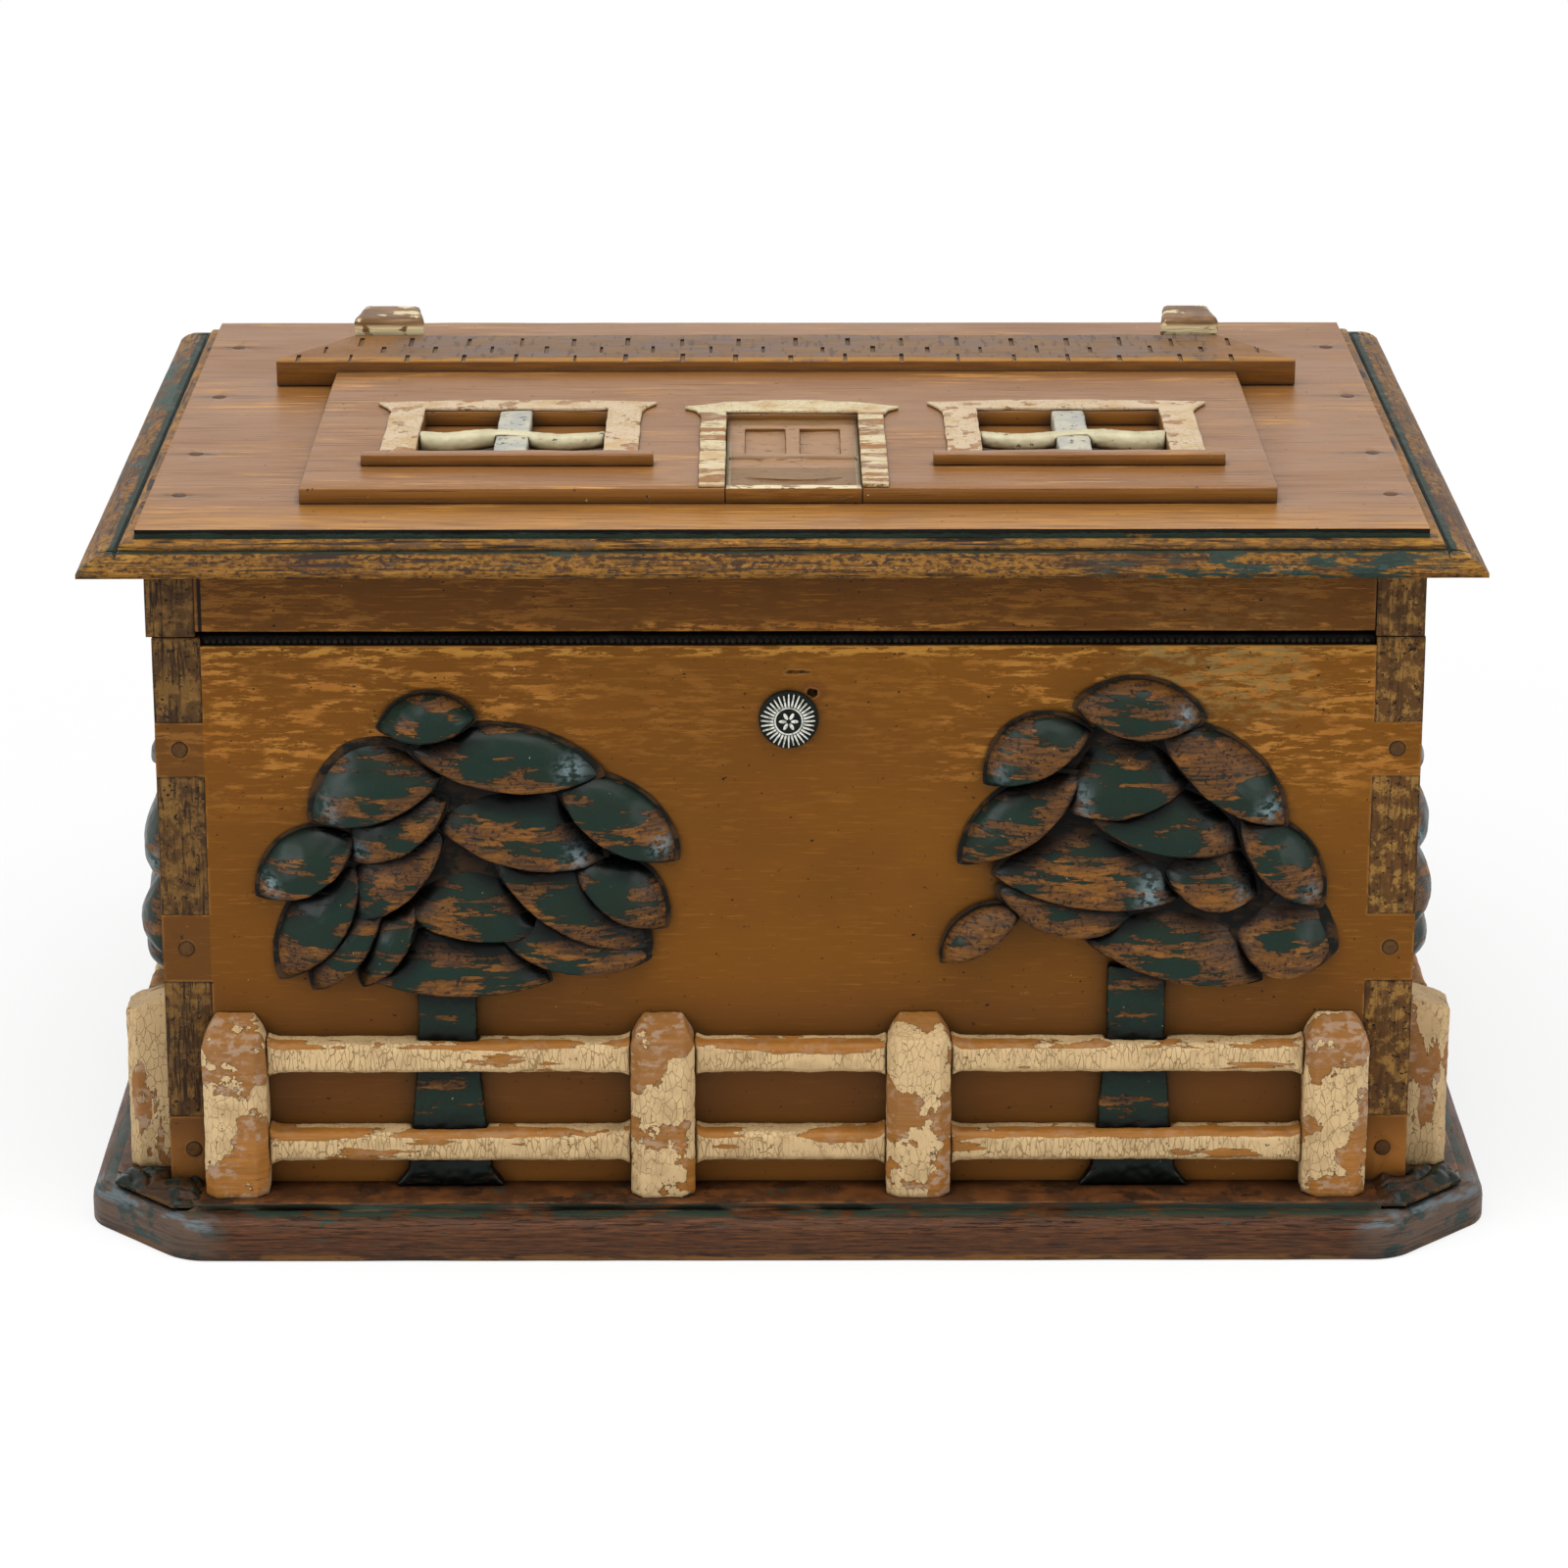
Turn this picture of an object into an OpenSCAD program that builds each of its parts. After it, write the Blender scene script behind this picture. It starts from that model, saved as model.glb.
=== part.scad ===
// Painted wooden box, carved as a cottage garden.
// A finger jointed carcass stands on a moulded base board and carries a hinged lid.
// Applied carvings: a cottage front on the lid, trees and a post and rail fence round the walls.
// Origin: middle of the footprint, on the surface that the box stands on.
// +X right, +Y to the back, +Z up. The front with the stud faces -Y.

/* [Carcass] */
// Width of the carcass, outside
body_w = 302; // [250:1:370]
// Depth of the carcass, outside
body_d = 212; // [175:1:260]
// Height at which the lid was sawn off the carcass
seam_z = 151; // [144:1:190]
// Thickness of the carcass walls
wall = 11.5; // [9:0.5:14]
// How far the front wall stays below the seam
front_drop = 2; // [0:0.5:4]
// Height of each front wall finger at the corners
pin_h = 17; // [10:0.5:20]
// Height of the topmost front wall finger
top_pin_h = 13.5; // [8:0.5:18]
// Height of each side wall finger at the corners
finger_h = 35; // [20:0.5:50]

/* [Base] */
// How far the base board reaches past the carcass, all round
base_ledge = 20.5; // [17:0.5:30]
// Thickness of the base board
base_h = 12.5; // [10:0.5:18]
// Leg of the clipped corners, along each edge
base_corner = 25; // [15:1:30]
// Width of the rounded nosing, outside the small step
nosing_w = 6.5; // [4:0.5:8]
// Height of the small step above the nosing
nosing_step = 2; // [1:0.5:3]

/* [Lid] */
// How far the lid board overhangs the carcass, all round
lid_overhang = 14; // [12:0.5:20]
// Thickness of the lid board
lid_h = 8.5; // [7:0.5:12]
// Width of the moulded edge of the lid board
lid_edge = 12.6; // [10:0.2:13]
// Height of the rails under the lid board
lid_rail_h = 18.2; // [12:0.2:26]
// How far the lid frame's sides stand past the carcass
frame_proud = 0.5; // [0:0.1:1]
// How far the lid sits to the left of the carcass
lid_shift = 1.5; // [0:0.5:2]
// Saw kerf between the carcass and the lid frame
kerf = 0.3; // [0.3:0.1:0.8]
// How far the front rail stays above the side rails' lower edge
front_rail_rise = 1.2; // [0:0.2:3]

/* [Hinges] */
// Length of each butt hinge
hinge_len = 38; // [30:1:50]
// Distance of each hinge from the middle of the box
hinge_x = 88; // [60:1:100]
// Width of each hinge leaf, on the wood
hinge_leaf_w = 10; // [7:0.5:11]
// Thickness of each hinge leaf
hinge_leaf_t = 1.2; // [0.8:0.1:1.6]
// Outside radius of the hinge knuckles
knuckle_r = 2.6; // [2.2:0.1:3]
// Radius of the hinge pins
hinge_pin_r = 1.1; // [0.8:0.05:1.3]
// Radial clearance between a hinge pin and its knuckles
hinge_pin_fit = 0.06; // [0.03:0.01:0.1]
// Gap between neighbouring knuckles
knuckle_gap = 0.4; // [0.3:0.1:0.6]
// Gap between the knuckles and the back of the box
knuckle_off = 0.3; // [0.3:0.1:0.8]

/* [Fence] */
// Width of a fence post
post_w = 15.5; // [12:0.5:18]
// How far a fence post stands out from the wall
post_t = 11; // [8:0.5:13]
// Height of a fence post
post_h = 44.5; // [38:0.5:60]
// Clipped edges of a fence post
post_clip = 2.5; // [1:0.5:4]
// Fall of a fence post's bevelled head, from wall to front
post_fall = 4; // [2:0.5:6]
// Height of a fence rail
rail_h = 7.5; // [5:0.5:9]
// How far a fence rail stands out from the wall
rail_t = 7.2; // [5.6:0.2:8]
// Clipped edges of a fence rail
rail_clip = 1.2; // [0.5:0.1:2]
// Underside of the upper rail, above the base board
upper_rail_z = 30.7; // [24:0.1:34]
// Underside of the lower rail, above the base board
lower_rail_z = 7.8; // [5:0.1:14]
// How much higher the side fences' upper rail sits
side_rail_rise = 3.5; // [0:0.5:5]

/* [Trees] */
// Distance of the front left tree from the carcass's left corner
left_tree_inset = 68.5; // [62:0.5:72]
// Distance of the front right tree from the carcass's right corner
right_tree_inset = 67; // [62:0.5:72]
// Distance of the side trees from the middle of the side
side_tree_y = 46; // [46:1:50]
// Width of a trunk below the leaves
trunk_w = 14; // [10:0.5:18]
// Width of a trunk's foot
trunk_foot_w = 27; // [20:0.5:32]
// How far a trunk stands out from the wall
trunk_t = 3.6; // [2.5:0.1:4.5]
// Height of a trunk
trunk_h = 57; // [50:0.5:70]
// How far the leaves stand out from the wall
leaf_t = 9; // [7:0.5:11]
// Thickness of a leaf's edge
leaf_edge = 4; // [2:0.5:5]

/* [Cottage] */
// Half width of the cottage front
facade_half_w = 117; // [105:1:120]
// Front edge of the cottage front, from the middle of the box
facade_y = 84.5; // [80:0.5:95]
// Thickness of the cottage front
facade_t = 4; // [3:0.5:6]
// Position of the roof's eave behind the middle of the box
eave_y = 34; // [30:0.5:40]
// Depth of the roof, from eave to ridge
roof_d = 29; // [20:0.5:32]
// How far the eave reaches past the cottage front at each end
eave_reach = 15.5; // [8:0.5:20]
// How far the ridge stays inside the cottage front at each end
ridge_inset = 2; // [0:0.5:8]
// Thickness of the roof
roof_t = 7; // [6:0.5:9]
// Height of the chimneys above the lid board
chimney_h = 11.5; // [9:0.5:14]
// Depth of the chimneys
chimney_d = 16; // [12:0.5:18]
// Distance of each window from the middle of the door
window_x = 69.5; // [66:0.5:72]
// Width of a window opening
window_w = 46; // [38:0.5:48]
// Height of a window opening, along the cottage front
window_h = 51; // [42:0.5:54]
// Distance of the window sills from the cottage's front edge
sill_y = 20.5; // [18:0.5:24]
// Width of a window sill
sill_w = 71; // [68:0.5:74]
// Depth of a window sill
sill_d = 4.5; // [3:0.5:6]
// Height of a window sill above the cottage front
sill_t = 3; // [2:0.2:4]
// Width of the door opening
door_w = 33; // [28:0.5:36]
// Height of the door opening, along the cottage front
door_h = 73; // [62:0.5:80]
// Thickness of the door leaf
door_t = 2.6; // [2:0.1:3]
// Width of the jambs round the windows
window_jamb_w = 8.6; // [6:0.2:9]
// Width of the jambs round the door
door_jamb_w = 6.4; // [5:0.2:7]
// Thickness of the frames on the cottage front
trim_t = 1; // [0.8:0.1:2]
// Width of the upright window bars
upright_w = 8.2; // [6:0.2:10]
// Thickness of the upright window bars
upright_t = 4.2; // [3:0.1:4.6]
// Diameter of the cross bars
cross_d = 5.6; // [5:0.1:6.4]

/* [Fixings] */
// Radius of the corner pegs
peg_r = 1.9; // [1.4:0.1:2.4]
// Length of the corner pegs
peg_l = 23; // [18:0.5:30]
// Radius of the shanks of the base nails
base_nail_r = 1.1; // [0.8:0.1:1.4]
// Length of the base nails
base_nail_l = 30; // [24:1:36]
// Radius of the shanks of the lid nails
lid_nail_r = 0.9; // [0.7:0.1:1.2]
// Length of the lid nails
lid_nail_l = 19; // [14:1:22]
// Radius of the shanks of the hinge screws
screw_r = 1.1; // [0.9:0.1:1.2]
// Length of the hinge screws
screw_l = 8; // [6:0.5:10]
// Radius of the stud on the front
stud_r = 7.1; // [5:0.1:8]
// How far the stud stands out
stud_t = 2.6; // [2:0.1:3.5]
// Height of the stud below the seam
stud_drop = 20; // [16:0.5:24]
// Radial clearance of pegs, nails, screws and the stud in the wood
fixing_fit = 0.05; // [0.02:0.01:0.1]

/* [Lining] */
// Thickness of the cloth covered lining boards
lining_t = 1.5; // [1:0.1:2.5]
// Thickness of the padded lip on the front wall
lip_t = 2.2; // [1:0.1:3]

/* [Hidden] */
$fn = 48;

ochre = "#8a5a1c";
dark_wood = "#4a2c16";
lid_brown = "#a08058";
cream = "#dcc898";
leaf_green = "#24403a";
black_cloth = "#14141a";
steel = "#6e6a62";
peg_wood = "#3c2818";

// A value that lets a cut run clear of a face
over = 1;

base_w = body_w + 2 * base_ledge;
base_d = body_d + 2 * base_ledge;
lid_w = body_w + 2 * lid_overhang;
lid_d = body_d + 2 * lid_overhang;
lid_frame_w = body_w + 2 * frame_proud;
lid_z = seam_z + kerf + lid_rail_h;
lid_top = lid_z + lid_h;
facade_top = lid_top + facade_t;
front_top = seam_z - front_drop;
front_rail_z = seam_z + kerf + front_rail_rise;
inner_w = body_w - 2 * wall;
inner_d = body_d - 2 * wall;
lid_left = -lid_frame_w / 2 - lid_shift / 2;
lid_right = lid_frame_w / 2 - lid_shift / 2;

// Finger joints: where each front or back wall finger starts and ends
pitch = pin_h + finger_h;
pin_count = floor((seam_z - base_h - top_pin_h) / pitch) + 1;
pins = [
    for (i = [0 : pin_count - 1])
        let (z0 = base_h + i * pitch)
            [z0, z0 + (i == pin_count - 1 ? top_pin_h : pin_h)]
];

// Fence: posts along the front and along each side, from the middle
left_post_inset = 17;
right_post_inset = 18.5;
front_posts = [-body_w / 2 + left_post_inset, -30.5, 31.5, body_w / 2 - right_post_inset];
side_posts = [-body_d / 2 + left_post_inset, 0, body_d / 2 - left_post_inset];

// Trees along the front
left_tree_x = -body_w / 2 + left_tree_inset;
right_tree_x = body_w / 2 - right_tree_inset;

// Flare of a trunk: share of the way from its width to its foot's, and height above the base board
trunk_flare = [[0, 40], [0.3, 15], [0.5, 4], [1, 0]];

// Fixings
peg_proud = 0.3;
base_nail_head = 1;
base_nail_head_r = base_nail_r * 2.2;
base_nail_inset = 50;
base_nail_sunk = 0.3;
lid_nail_head = 1;
lid_nail_head_r = lid_nail_r * 1.9;
lid_nail_y = [-76, -36, 23, 78];
stud_shank_r = 1.5;
stud_shank_l = 9;
stud_rim = 1.2;

// Lining: where it starts, how far it stays below the seam, how far the lip stays behind the front
lining_z = base_h + lining_t;
lining_drop = 2;
lip_setback = 1;

// Cottage: the door and the windows stand a little to the right of the box's middle
door_x = 1.3;
window_y = sill_y + sill_d - facade_y;
window_head = 8;
window_ear = 3.8;
window_arch = 2;
door_head = 11;
door_ear = 4.2;
door_arch = 7;
eave_half_w = facade_half_w + eave_reach;
ridge_half_w = facade_half_w - ridge_inset;
eave_end = 1.5;

// Chimneys: place along the ridge, width at the ridge, and share of it at the far end
left_chimney_x = -ridge_half_w + 10;
left_chimney_w = 19;
right_chimney_x = ridge_half_w - 8;
right_chimney_w = 15.5;
chimney_taper = 0.77;

// Hinge pin
pin_y = body_d / 2 + knuckle_off + knuckle_r;
pin_z = seam_z + kerf / 2;
// The hinge leaves' outer edge, from the pin's axis
hinge_plate_y = -knuckle_off - knuckle_r;
knuckle_count = 5;
knuckle_len = hinge_len / knuckle_count;
screw_places = [-hinge_len * 0.3, hinge_len * 0.3];
screw_head_r = 2;
hinge_pin_head_r = hinge_pin_r * 1.5;
hinge_pin_head = 0.8;

// Leaves: place from the trunk and the base board, length, width, tilt
left_leaves = [
    [-3, 120, 25, 11, 3], [15, 109, 43, 12, -8], [-16, 101, 31, 15, 14], [-12, 92, 26, 10, 35],
    [19, 91, 38, 16, -13], [42, 94, 33, 13.5, -31], [-33, 85, 28, 12.5, 35], [-12, 81, 33, 13, 44],
    [7, 70, 33, 13, -11], [32, 73, 42, 13, -31], [44, 77, 27, 11, -28], [-31, 68, 31, 13.5, 56],
    [-23, 59, 21, 8, 47], [-15, 60, 17, 7, 61], [6, 58, 38, 12, -2], [32, 60, 36, 10, -9]
];
right_leaves = [
    [-1, 123, 30, 12, -8], [-24, 112, 27, 13, 28], [-3, 104, 28, 17, 10], [20, 104, 35, 15, -36],
    [-28, 96, 34, 12, 43], [7, 92, 35, 13.5, -7], [-12, 80, 43, 17, -7], [35, 84, 25, 12.5, -43],
    [19, 80, 23, 12, -20], [-37, 65, 22, 10, 32], [-16, 72, 30, 10, -18], [13, 62, 37, 14, -12],
    [38, 64, 26, 18, -47]
];
side_leaves = [
    [-2, 93, 24, 11, 4], [-20, 82, 27, 12, 32], [4, 81, 30, 14, -4], [25, 80, 28, 12, -34],
    [-30, 68, 26, 12, 44], [-8, 67, 30, 13, 8], [17, 66, 32, 13, -14], [35, 62, 22, 14, -48],
    [-20, 54, 28, 11, 26], [8, 53, 34, 12, -4], [26, 51, 20, 9, -24]
];
leaf_sides = 12;
leaf_point = 0.25;
leaf_crown = 0.55;
leaf_crown_t = 0.1;
leaf_lean = 0.12;
backing_t = 3;
backing_r = 4;

// Points on an arc
function arc(cx, cy, r, from, to, steps) = [
    for (i = [0 : steps])
        let (a = from + (to - from) * i / steps)
            [cx + r * cos(a), cy + r * sin(a)]
];

// The same points with x turned round, from last to first
function mirrored(points) = [
    for (i = [len(points) - 1 : -1 : 0])
        [-points[i][0], points[i][1]]
];

// The upper part of an arc, from the given angle to its top, stretched to a width and a height
function stretched_arc(width, height, from, steps) = [
    for (i = [0 : steps])
        let (a = from + (90 - from) * i / steps)
            [width * (1 - cos(a) / cos(from)), height * (sin(a) - sin(from)) / (1 - sin(from))]
];

// Outline of a leaf: an ellipse drawn to blunt points
function leaf_outline(length, width) = [
    for (i = [0 : leaf_sides - 1])
        let (a = 360 * i / leaf_sides)
            [length / 2 * cos(a), width / 2 * sin(a) * (1 - leaf_point + leaf_point * abs(sin(a)))]
];

// Local X along the wall, local Y up, local Z out of the wall
module on_front() {
    translate([0, -body_d / 2, 0]) rotate([90, 0, 0]) children();
}

module on_left() {
    translate([-body_w / 2, 0, 0]) rotate([90, 0, -90]) children();
}

module on_right() {
    translate([body_w / 2, 0, 0]) rotate([90, 0, 90]) children();
}

// A bar along X whose section is the given half section and its mirror image
module moulded_bar(half_w, section, length) {
    half = [for (p = section) [half_w - p[0], p[1]]];
    rotate([90, 0, 90])
        linear_extrude(length, center = true)
            polygon(concat(half, mirrored(half)));
}

// A board with the same moulding on every edge; section is [inset, height] from the bottom up
module moulded_board(width, depth, corner, section) {
    reach = width + depth;
    half_diagonal = (width / 2 + depth / 2 - corner) / sqrt(2);
    intersection() {
        moulded_bar(depth / 2, section, reach);
        rotate([0, 0, 90]) moulded_bar(width / 2, section, reach);
        if (corner > 0) intersection() {
            rotate([0, 0, 45]) moulded_bar(half_diagonal, section, reach);
            rotate([0, 0, -45]) moulded_bar(half_diagonal, section, reach);
        }
    }
}

// Where the base nails stand: along the front and back walls, then along the side walls
module base_nail_places() {
    for (place = [-1, 0, 1], side = [-1, 1])
        translate([place * (body_w / 2 - base_nail_inset), side * (body_d - wall) / 2, 0]) children();
    for (side = [-1, 1], place = [-1, 1])
        translate([side * (body_w - wall) / 2, place * (body_d / 2 - base_nail_inset), 0]) children();
}

// Holes for the base nails
module base_nail_holes() {
    base_nail_places() {
        translate([0, 0, -over]) cylinder(h = base_nail_l + over, r = base_nail_r + fixing_fit);
        translate([0, 0, -over]) cylinder(h = base_nail_head + over, r = base_nail_head_r + fixing_fit);
    }
}

// A nail driven from below, its head sunk a little into the base board
module base_nail() {
    translate([0, 0, base_nail_sunk]) {
        cylinder(h = base_nail_l - base_nail_sunk, r = base_nail_r);
        cylinder(h = base_nail_head - base_nail_sunk, r = base_nail_head_r);
    }
}

// Where the corner pegs enter: local Z points into the box
module peg_places() {
    for (side = [-1, 1], pin = pins) {
        height = (pin[0] + pin[1]) / 2;
        translate([side * (body_w - wall) / 2, -body_d / 2, height]) rotate([-90, 0, 0]) children();
        translate([side * (body_w - wall) / 2, body_d / 2, height]) rotate([90, 0, 0]) children();
    }
}

module peg_holes() {
    peg_places() translate([0, 0, -over]) cylinder(h = peg_l + over, r = peg_r + fixing_fit);
}

// Where the lid nails stand, on top of the lid board
module lid_nail_places() {
    for (x = [lid_left + wall / 2, lid_right - wall / 2], y = lid_nail_y)
        translate([x, y, lid_top]) children();
}

module lid_nail_holes() {
    lid_nail_places() {
        translate([0, 0, -lid_nail_l]) cylinder(h = lid_nail_l + over, r = lid_nail_r + fixing_fit);
        translate([0, 0, -lid_nail_head])
            cylinder(h = lid_nail_head + over, r = lid_nail_head_r + fixing_fit);
    }
}

module lid_nail() {
    translate([0, 0, -lid_nail_l]) cylinder(h = lid_nail_l, r = lid_nail_r);
    translate([0, 0, -lid_nail_head]) cylinder(h = lid_nail_head, r = lid_nail_head_r);
}

// Carcass

module base_board() {
    nose = base_h - nosing_step;
    flat = 1.5;
    round_r = nosing_w - flat;
    section = concat(
        [[0, 0]],
        arc(round_r, nose - round_r, round_r, 180, 90, 6),
        [[nosing_w, nose], [nosing_w, base_h]]
    );
    color(dark_wood)
        difference() {
            moulded_board(base_w, base_d, base_corner, section);
            base_nail_holes();
        }
}

// A front or back wall with its fingers, before its own cuts
module end_wall(y, height) {
    difference() {
        translate([-body_w / 2, y, base_h]) cube([body_w, wall, height - base_h]);
        for (i = [0 : pin_count - 1], side = [-1, 1]) {
            top = i == pin_count - 1 ? seam_z + over : pins[i + 1][0];
            translate([side > 0 ? body_w / 2 - wall : -body_w / 2 - over, y - over, pins[i][1]])
                cube([wall + over, wall + 2 * over, top - pins[i][1]]);
        }
        base_nail_holes();
        peg_holes();
    }
}

module front_wall() {
    color(ochre)
        difference() {
            end_wall(-body_d / 2, front_top);
            on_front() translate([0, seam_z - stud_drop, -stud_shank_l])
                cylinder(h = stud_shank_l + over, r = stud_shank_r + fixing_fit);
        }
}

module back_wall() {
    color(ochre)
        difference() {
            end_wall(body_d / 2 - wall, seam_z);
            hinge_places() {
                translate([0, 0, -kerf / 2 - hinge_leaf_t]) hinge_pocket();
                screw_spots() box_screw(fixing_fit, over);
            }
        }
}

module side_wall(side) {
    x0 = side > 0 ? body_w / 2 - wall : -body_w / 2;
    color(ochre)
        difference() {
            translate([x0, -body_d / 2, base_h]) cube([wall, body_d, seam_z - base_h]);
            for (pin = pins, y = [-body_d / 2 - over, body_d / 2 - wall])
                translate([x0 - over, y, pin[0]])
                    cube([wall + 2 * over, wall + over, pin[1] - pin[0]]);
            base_nail_holes();
            peg_holes();
        }
}

module left_wall() {
    side_wall(-1);
}

module right_wall() {
    side_wall(1);
}

module corner_pegs() {
    color(peg_wood) peg_places() translate([0, 0, -peg_proud]) cylinder(h = peg_l, r = peg_r);
}

module base_nails() {
    color(steel) base_nail_places() base_nail();
}

// Stud: a domed head with a stepped rim, on a shank in the front wall
module front_stud() {
    dome_h = stud_t - stud_rim;
    dome_r = (stud_r * stud_r + dome_h * dome_h) / (2 * dome_h);
    color(steel)
        on_front() translate([0, seam_z - stud_drop, 0]) {
            intersection() {
                cylinder(h = stud_t, r = stud_r);
                translate([0, 0, stud_t - dome_r]) sphere(r = dome_r, $fn = 120);
            }
            translate([0, 0, -stud_shank_l]) cylinder(h = stud_shank_l + stud_rim / 2, r = stud_shank_r);
        }
}

// Lining: cloth covered boards inside, with a padded lip over the front wall

module lining_floor() {
    color(black_cloth)
        translate([-inner_w / 2, -inner_d / 2, base_h])
            cube([inner_w, inner_d, lining_t]);
}

module lining_front() {
    color(black_cloth) {
        translate([-inner_w / 2, -inner_d / 2, lining_z])
            cube([inner_w, lining_t, front_top + lip_t - lining_z]);
        translate([-inner_w / 2, -body_d / 2 + lip_setback, front_top])
            cube([inner_w, wall - lip_setback + lining_t, lip_t]);
    }
}

module lining_back() {
    color(black_cloth)
        translate([-inner_w / 2, inner_d / 2 - lining_t, lining_z])
            cube([inner_w, lining_t, seam_z - lining_drop - lining_z]);
}

module lining_side(side) {
    x0 = side > 0 ? inner_w / 2 - lining_t : -inner_w / 2;
    color(black_cloth)
        translate([x0, -inner_d / 2 + lining_t, lining_z])
            cube([lining_t, inner_d - 2 * lining_t, seam_z - lining_drop - lining_z]);
}

module lining_left() {
    lining_side(-1);
}

module lining_right() {
    lining_side(1);
}

// Fence

module post() {
    half = [[post_w / 2, 0], [post_w / 2, post_t - post_clip], [post_w / 2 - post_clip, post_t]];
    slope = atan(post_fall / post_t);
    difference() {
        translate([0, base_h, 0]) rotate([-90, 0, 0])
            mirror([0, 1, 0]) linear_extrude(post_h) polygon(concat(half, mirrored(half)));
        translate([-post_w, base_h + post_h, 0]) rotate([slope, 0, 0])
            translate([0, 0, -post_w]) cube([2 * post_w, post_w, 4 * post_w]);
    }
}

module posts(places) {
    color(cream) for (x = places) translate([x, 0, 0]) post();
}

// One run of rail from post to post, notched over the trunks that stand behind it
module rails(places, z) {
    section = [
        [0, 0], [rail_t - rail_clip, 0], [rail_t, rail_clip],
        [rail_t, rail_h - rail_clip], [rail_t - rail_clip, rail_h], [0, rail_h]
    ];
    color(cream)
        for (i = [0 : len(places) - 2]) {
            x0 = places[i] + post_w / 2;
            x1 = places[i + 1] - post_w / 2;
            translate([x0, base_h + z, 0]) rotate([0, 90, 0]) mirror([1, 0, 0])
                linear_extrude(x1 - x0) polygon(section);
        }
}

// Wood cut away behind the rails for trunks at the given places
module trunk_notches(places) {
    for (x = places)
        translate([x, 0, -over])
            linear_extrude(trunk_t + over + fixing_fit)
                trunk_shape(fixing_fit);
}

module front_fence_posts() {
    on_front() posts(front_posts);
}

module front_rails(z) {
    on_front() difference() {
        rails(front_posts, z);
        trunk_notches([left_tree_x, right_tree_x]);
    }
}

module front_upper_rail() {
    front_rails(upper_rail_z);
}

module front_lower_rail() {
    front_rails(lower_rail_z);
}

module side_rails(z) {
    difference() {
        rails(side_posts, z);
        trunk_notches([-side_tree_y, side_tree_y]);
    }
}

module left_fence_posts() {
    on_left() posts(side_posts);
}

module left_upper_rail() {
    on_left() side_rails(upper_rail_z + side_rail_rise);
}

module left_lower_rail() {
    on_left() side_rails(lower_rail_z);
}

module right_fence_posts() {
    on_right() posts(side_posts);
}

module right_upper_rail() {
    on_right() side_rails(upper_rail_z + side_rail_rise);
}

module right_lower_rail() {
    on_right() side_rails(lower_rail_z);
}

// Trees

// Outline of a trunk with its flared foot; fit widens it to the cut that goes round it
module trunk_shape(fit = 0) {
    spread = (trunk_foot_w - trunk_w) / 2;
    half = [
        [trunk_w / 2 + fit, base_h + trunk_h + fit],
        for (f = trunk_flare) [trunk_w / 2 + f[0] * spread + fit, base_h + f[1]]
    ];
    polygon(concat(half, mirrored(half)));
}

module trunk(x) {
    color(leaf_green) translate([x, 0, 0]) linear_extrude(trunk_t) trunk_shape();
}

// A leaf stands thickest near its lower edge, so that it laps over the one below
module leaf(length, width) {
    hull() {
        linear_extrude(leaf_edge) polygon(leaf_outline(length, width));
        translate([0, -leaf_lean * width, leaf_t - leaf_crown_t])
            linear_extrude(leaf_crown_t) polygon(leaf_outline(length * leaf_crown, width * leaf_crown));
    }
}

// The leaves on their backing, cut away over the top of the trunk
module canopy(x, leaves) {
    color(leaf_green)
        translate([x, 0, 0])
            difference() {
                union() {
                    for (l = leaves)
                        translate([l[0], base_h + l[1], 0]) rotate([0, 0, l[4]]) leaf(l[2], l[3]);
                    hull()
                        for (l = leaves)
                            translate([l[0], base_h + l[1], 0])
                                cylinder(h = backing_t, r = backing_r, $fn = 16);
                }
                translate([0, 0, -over])
                    linear_extrude(trunk_t + over + fixing_fit) trunk_shape(fixing_fit);
            }
}

module front_left_trunk() {
    on_front() trunk(left_tree_x);
}

module front_left_canopy() {
    on_front() canopy(left_tree_x, left_leaves);
}

module front_right_trunk() {
    on_front() trunk(right_tree_x);
}

module front_right_canopy() {
    on_front() canopy(right_tree_x, right_leaves);
}

module side_trunks() {
    for (x = [-side_tree_y, side_tree_y]) trunk(x);
}

module left_side_trunks() {
    on_left() side_trunks();
}

module left_near_canopy() {
    on_left() canopy(side_tree_y, side_leaves);
}

module left_far_canopy() {
    on_left() mirror([1, 0, 0]) canopy(side_tree_y, side_leaves);
}

module right_side_trunks() {
    on_right() side_trunks();
}

module right_near_canopy() {
    on_right() canopy(-side_tree_y, side_leaves);
}

module right_far_canopy() {
    on_right() mirror([1, 0, 0]) canopy(-side_tree_y, side_leaves);
}

// Hinges: local origin in the middle of each hinge pin
module hinge_places() {
    for (side = [-1, 1]) translate([side * hinge_x, pin_y, pin_z]) children();
}

// Wood cut away for a leaf, from its lower face or from the seam
module hinge_pocket() {
    translate([-hinge_len / 2 - fixing_fit, hinge_plate_y - hinge_leaf_w, 0])
        cube([hinge_len + 2 * fixing_fit, hinge_leaf_w + over, hinge_leaf_t + over]);
}

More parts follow.
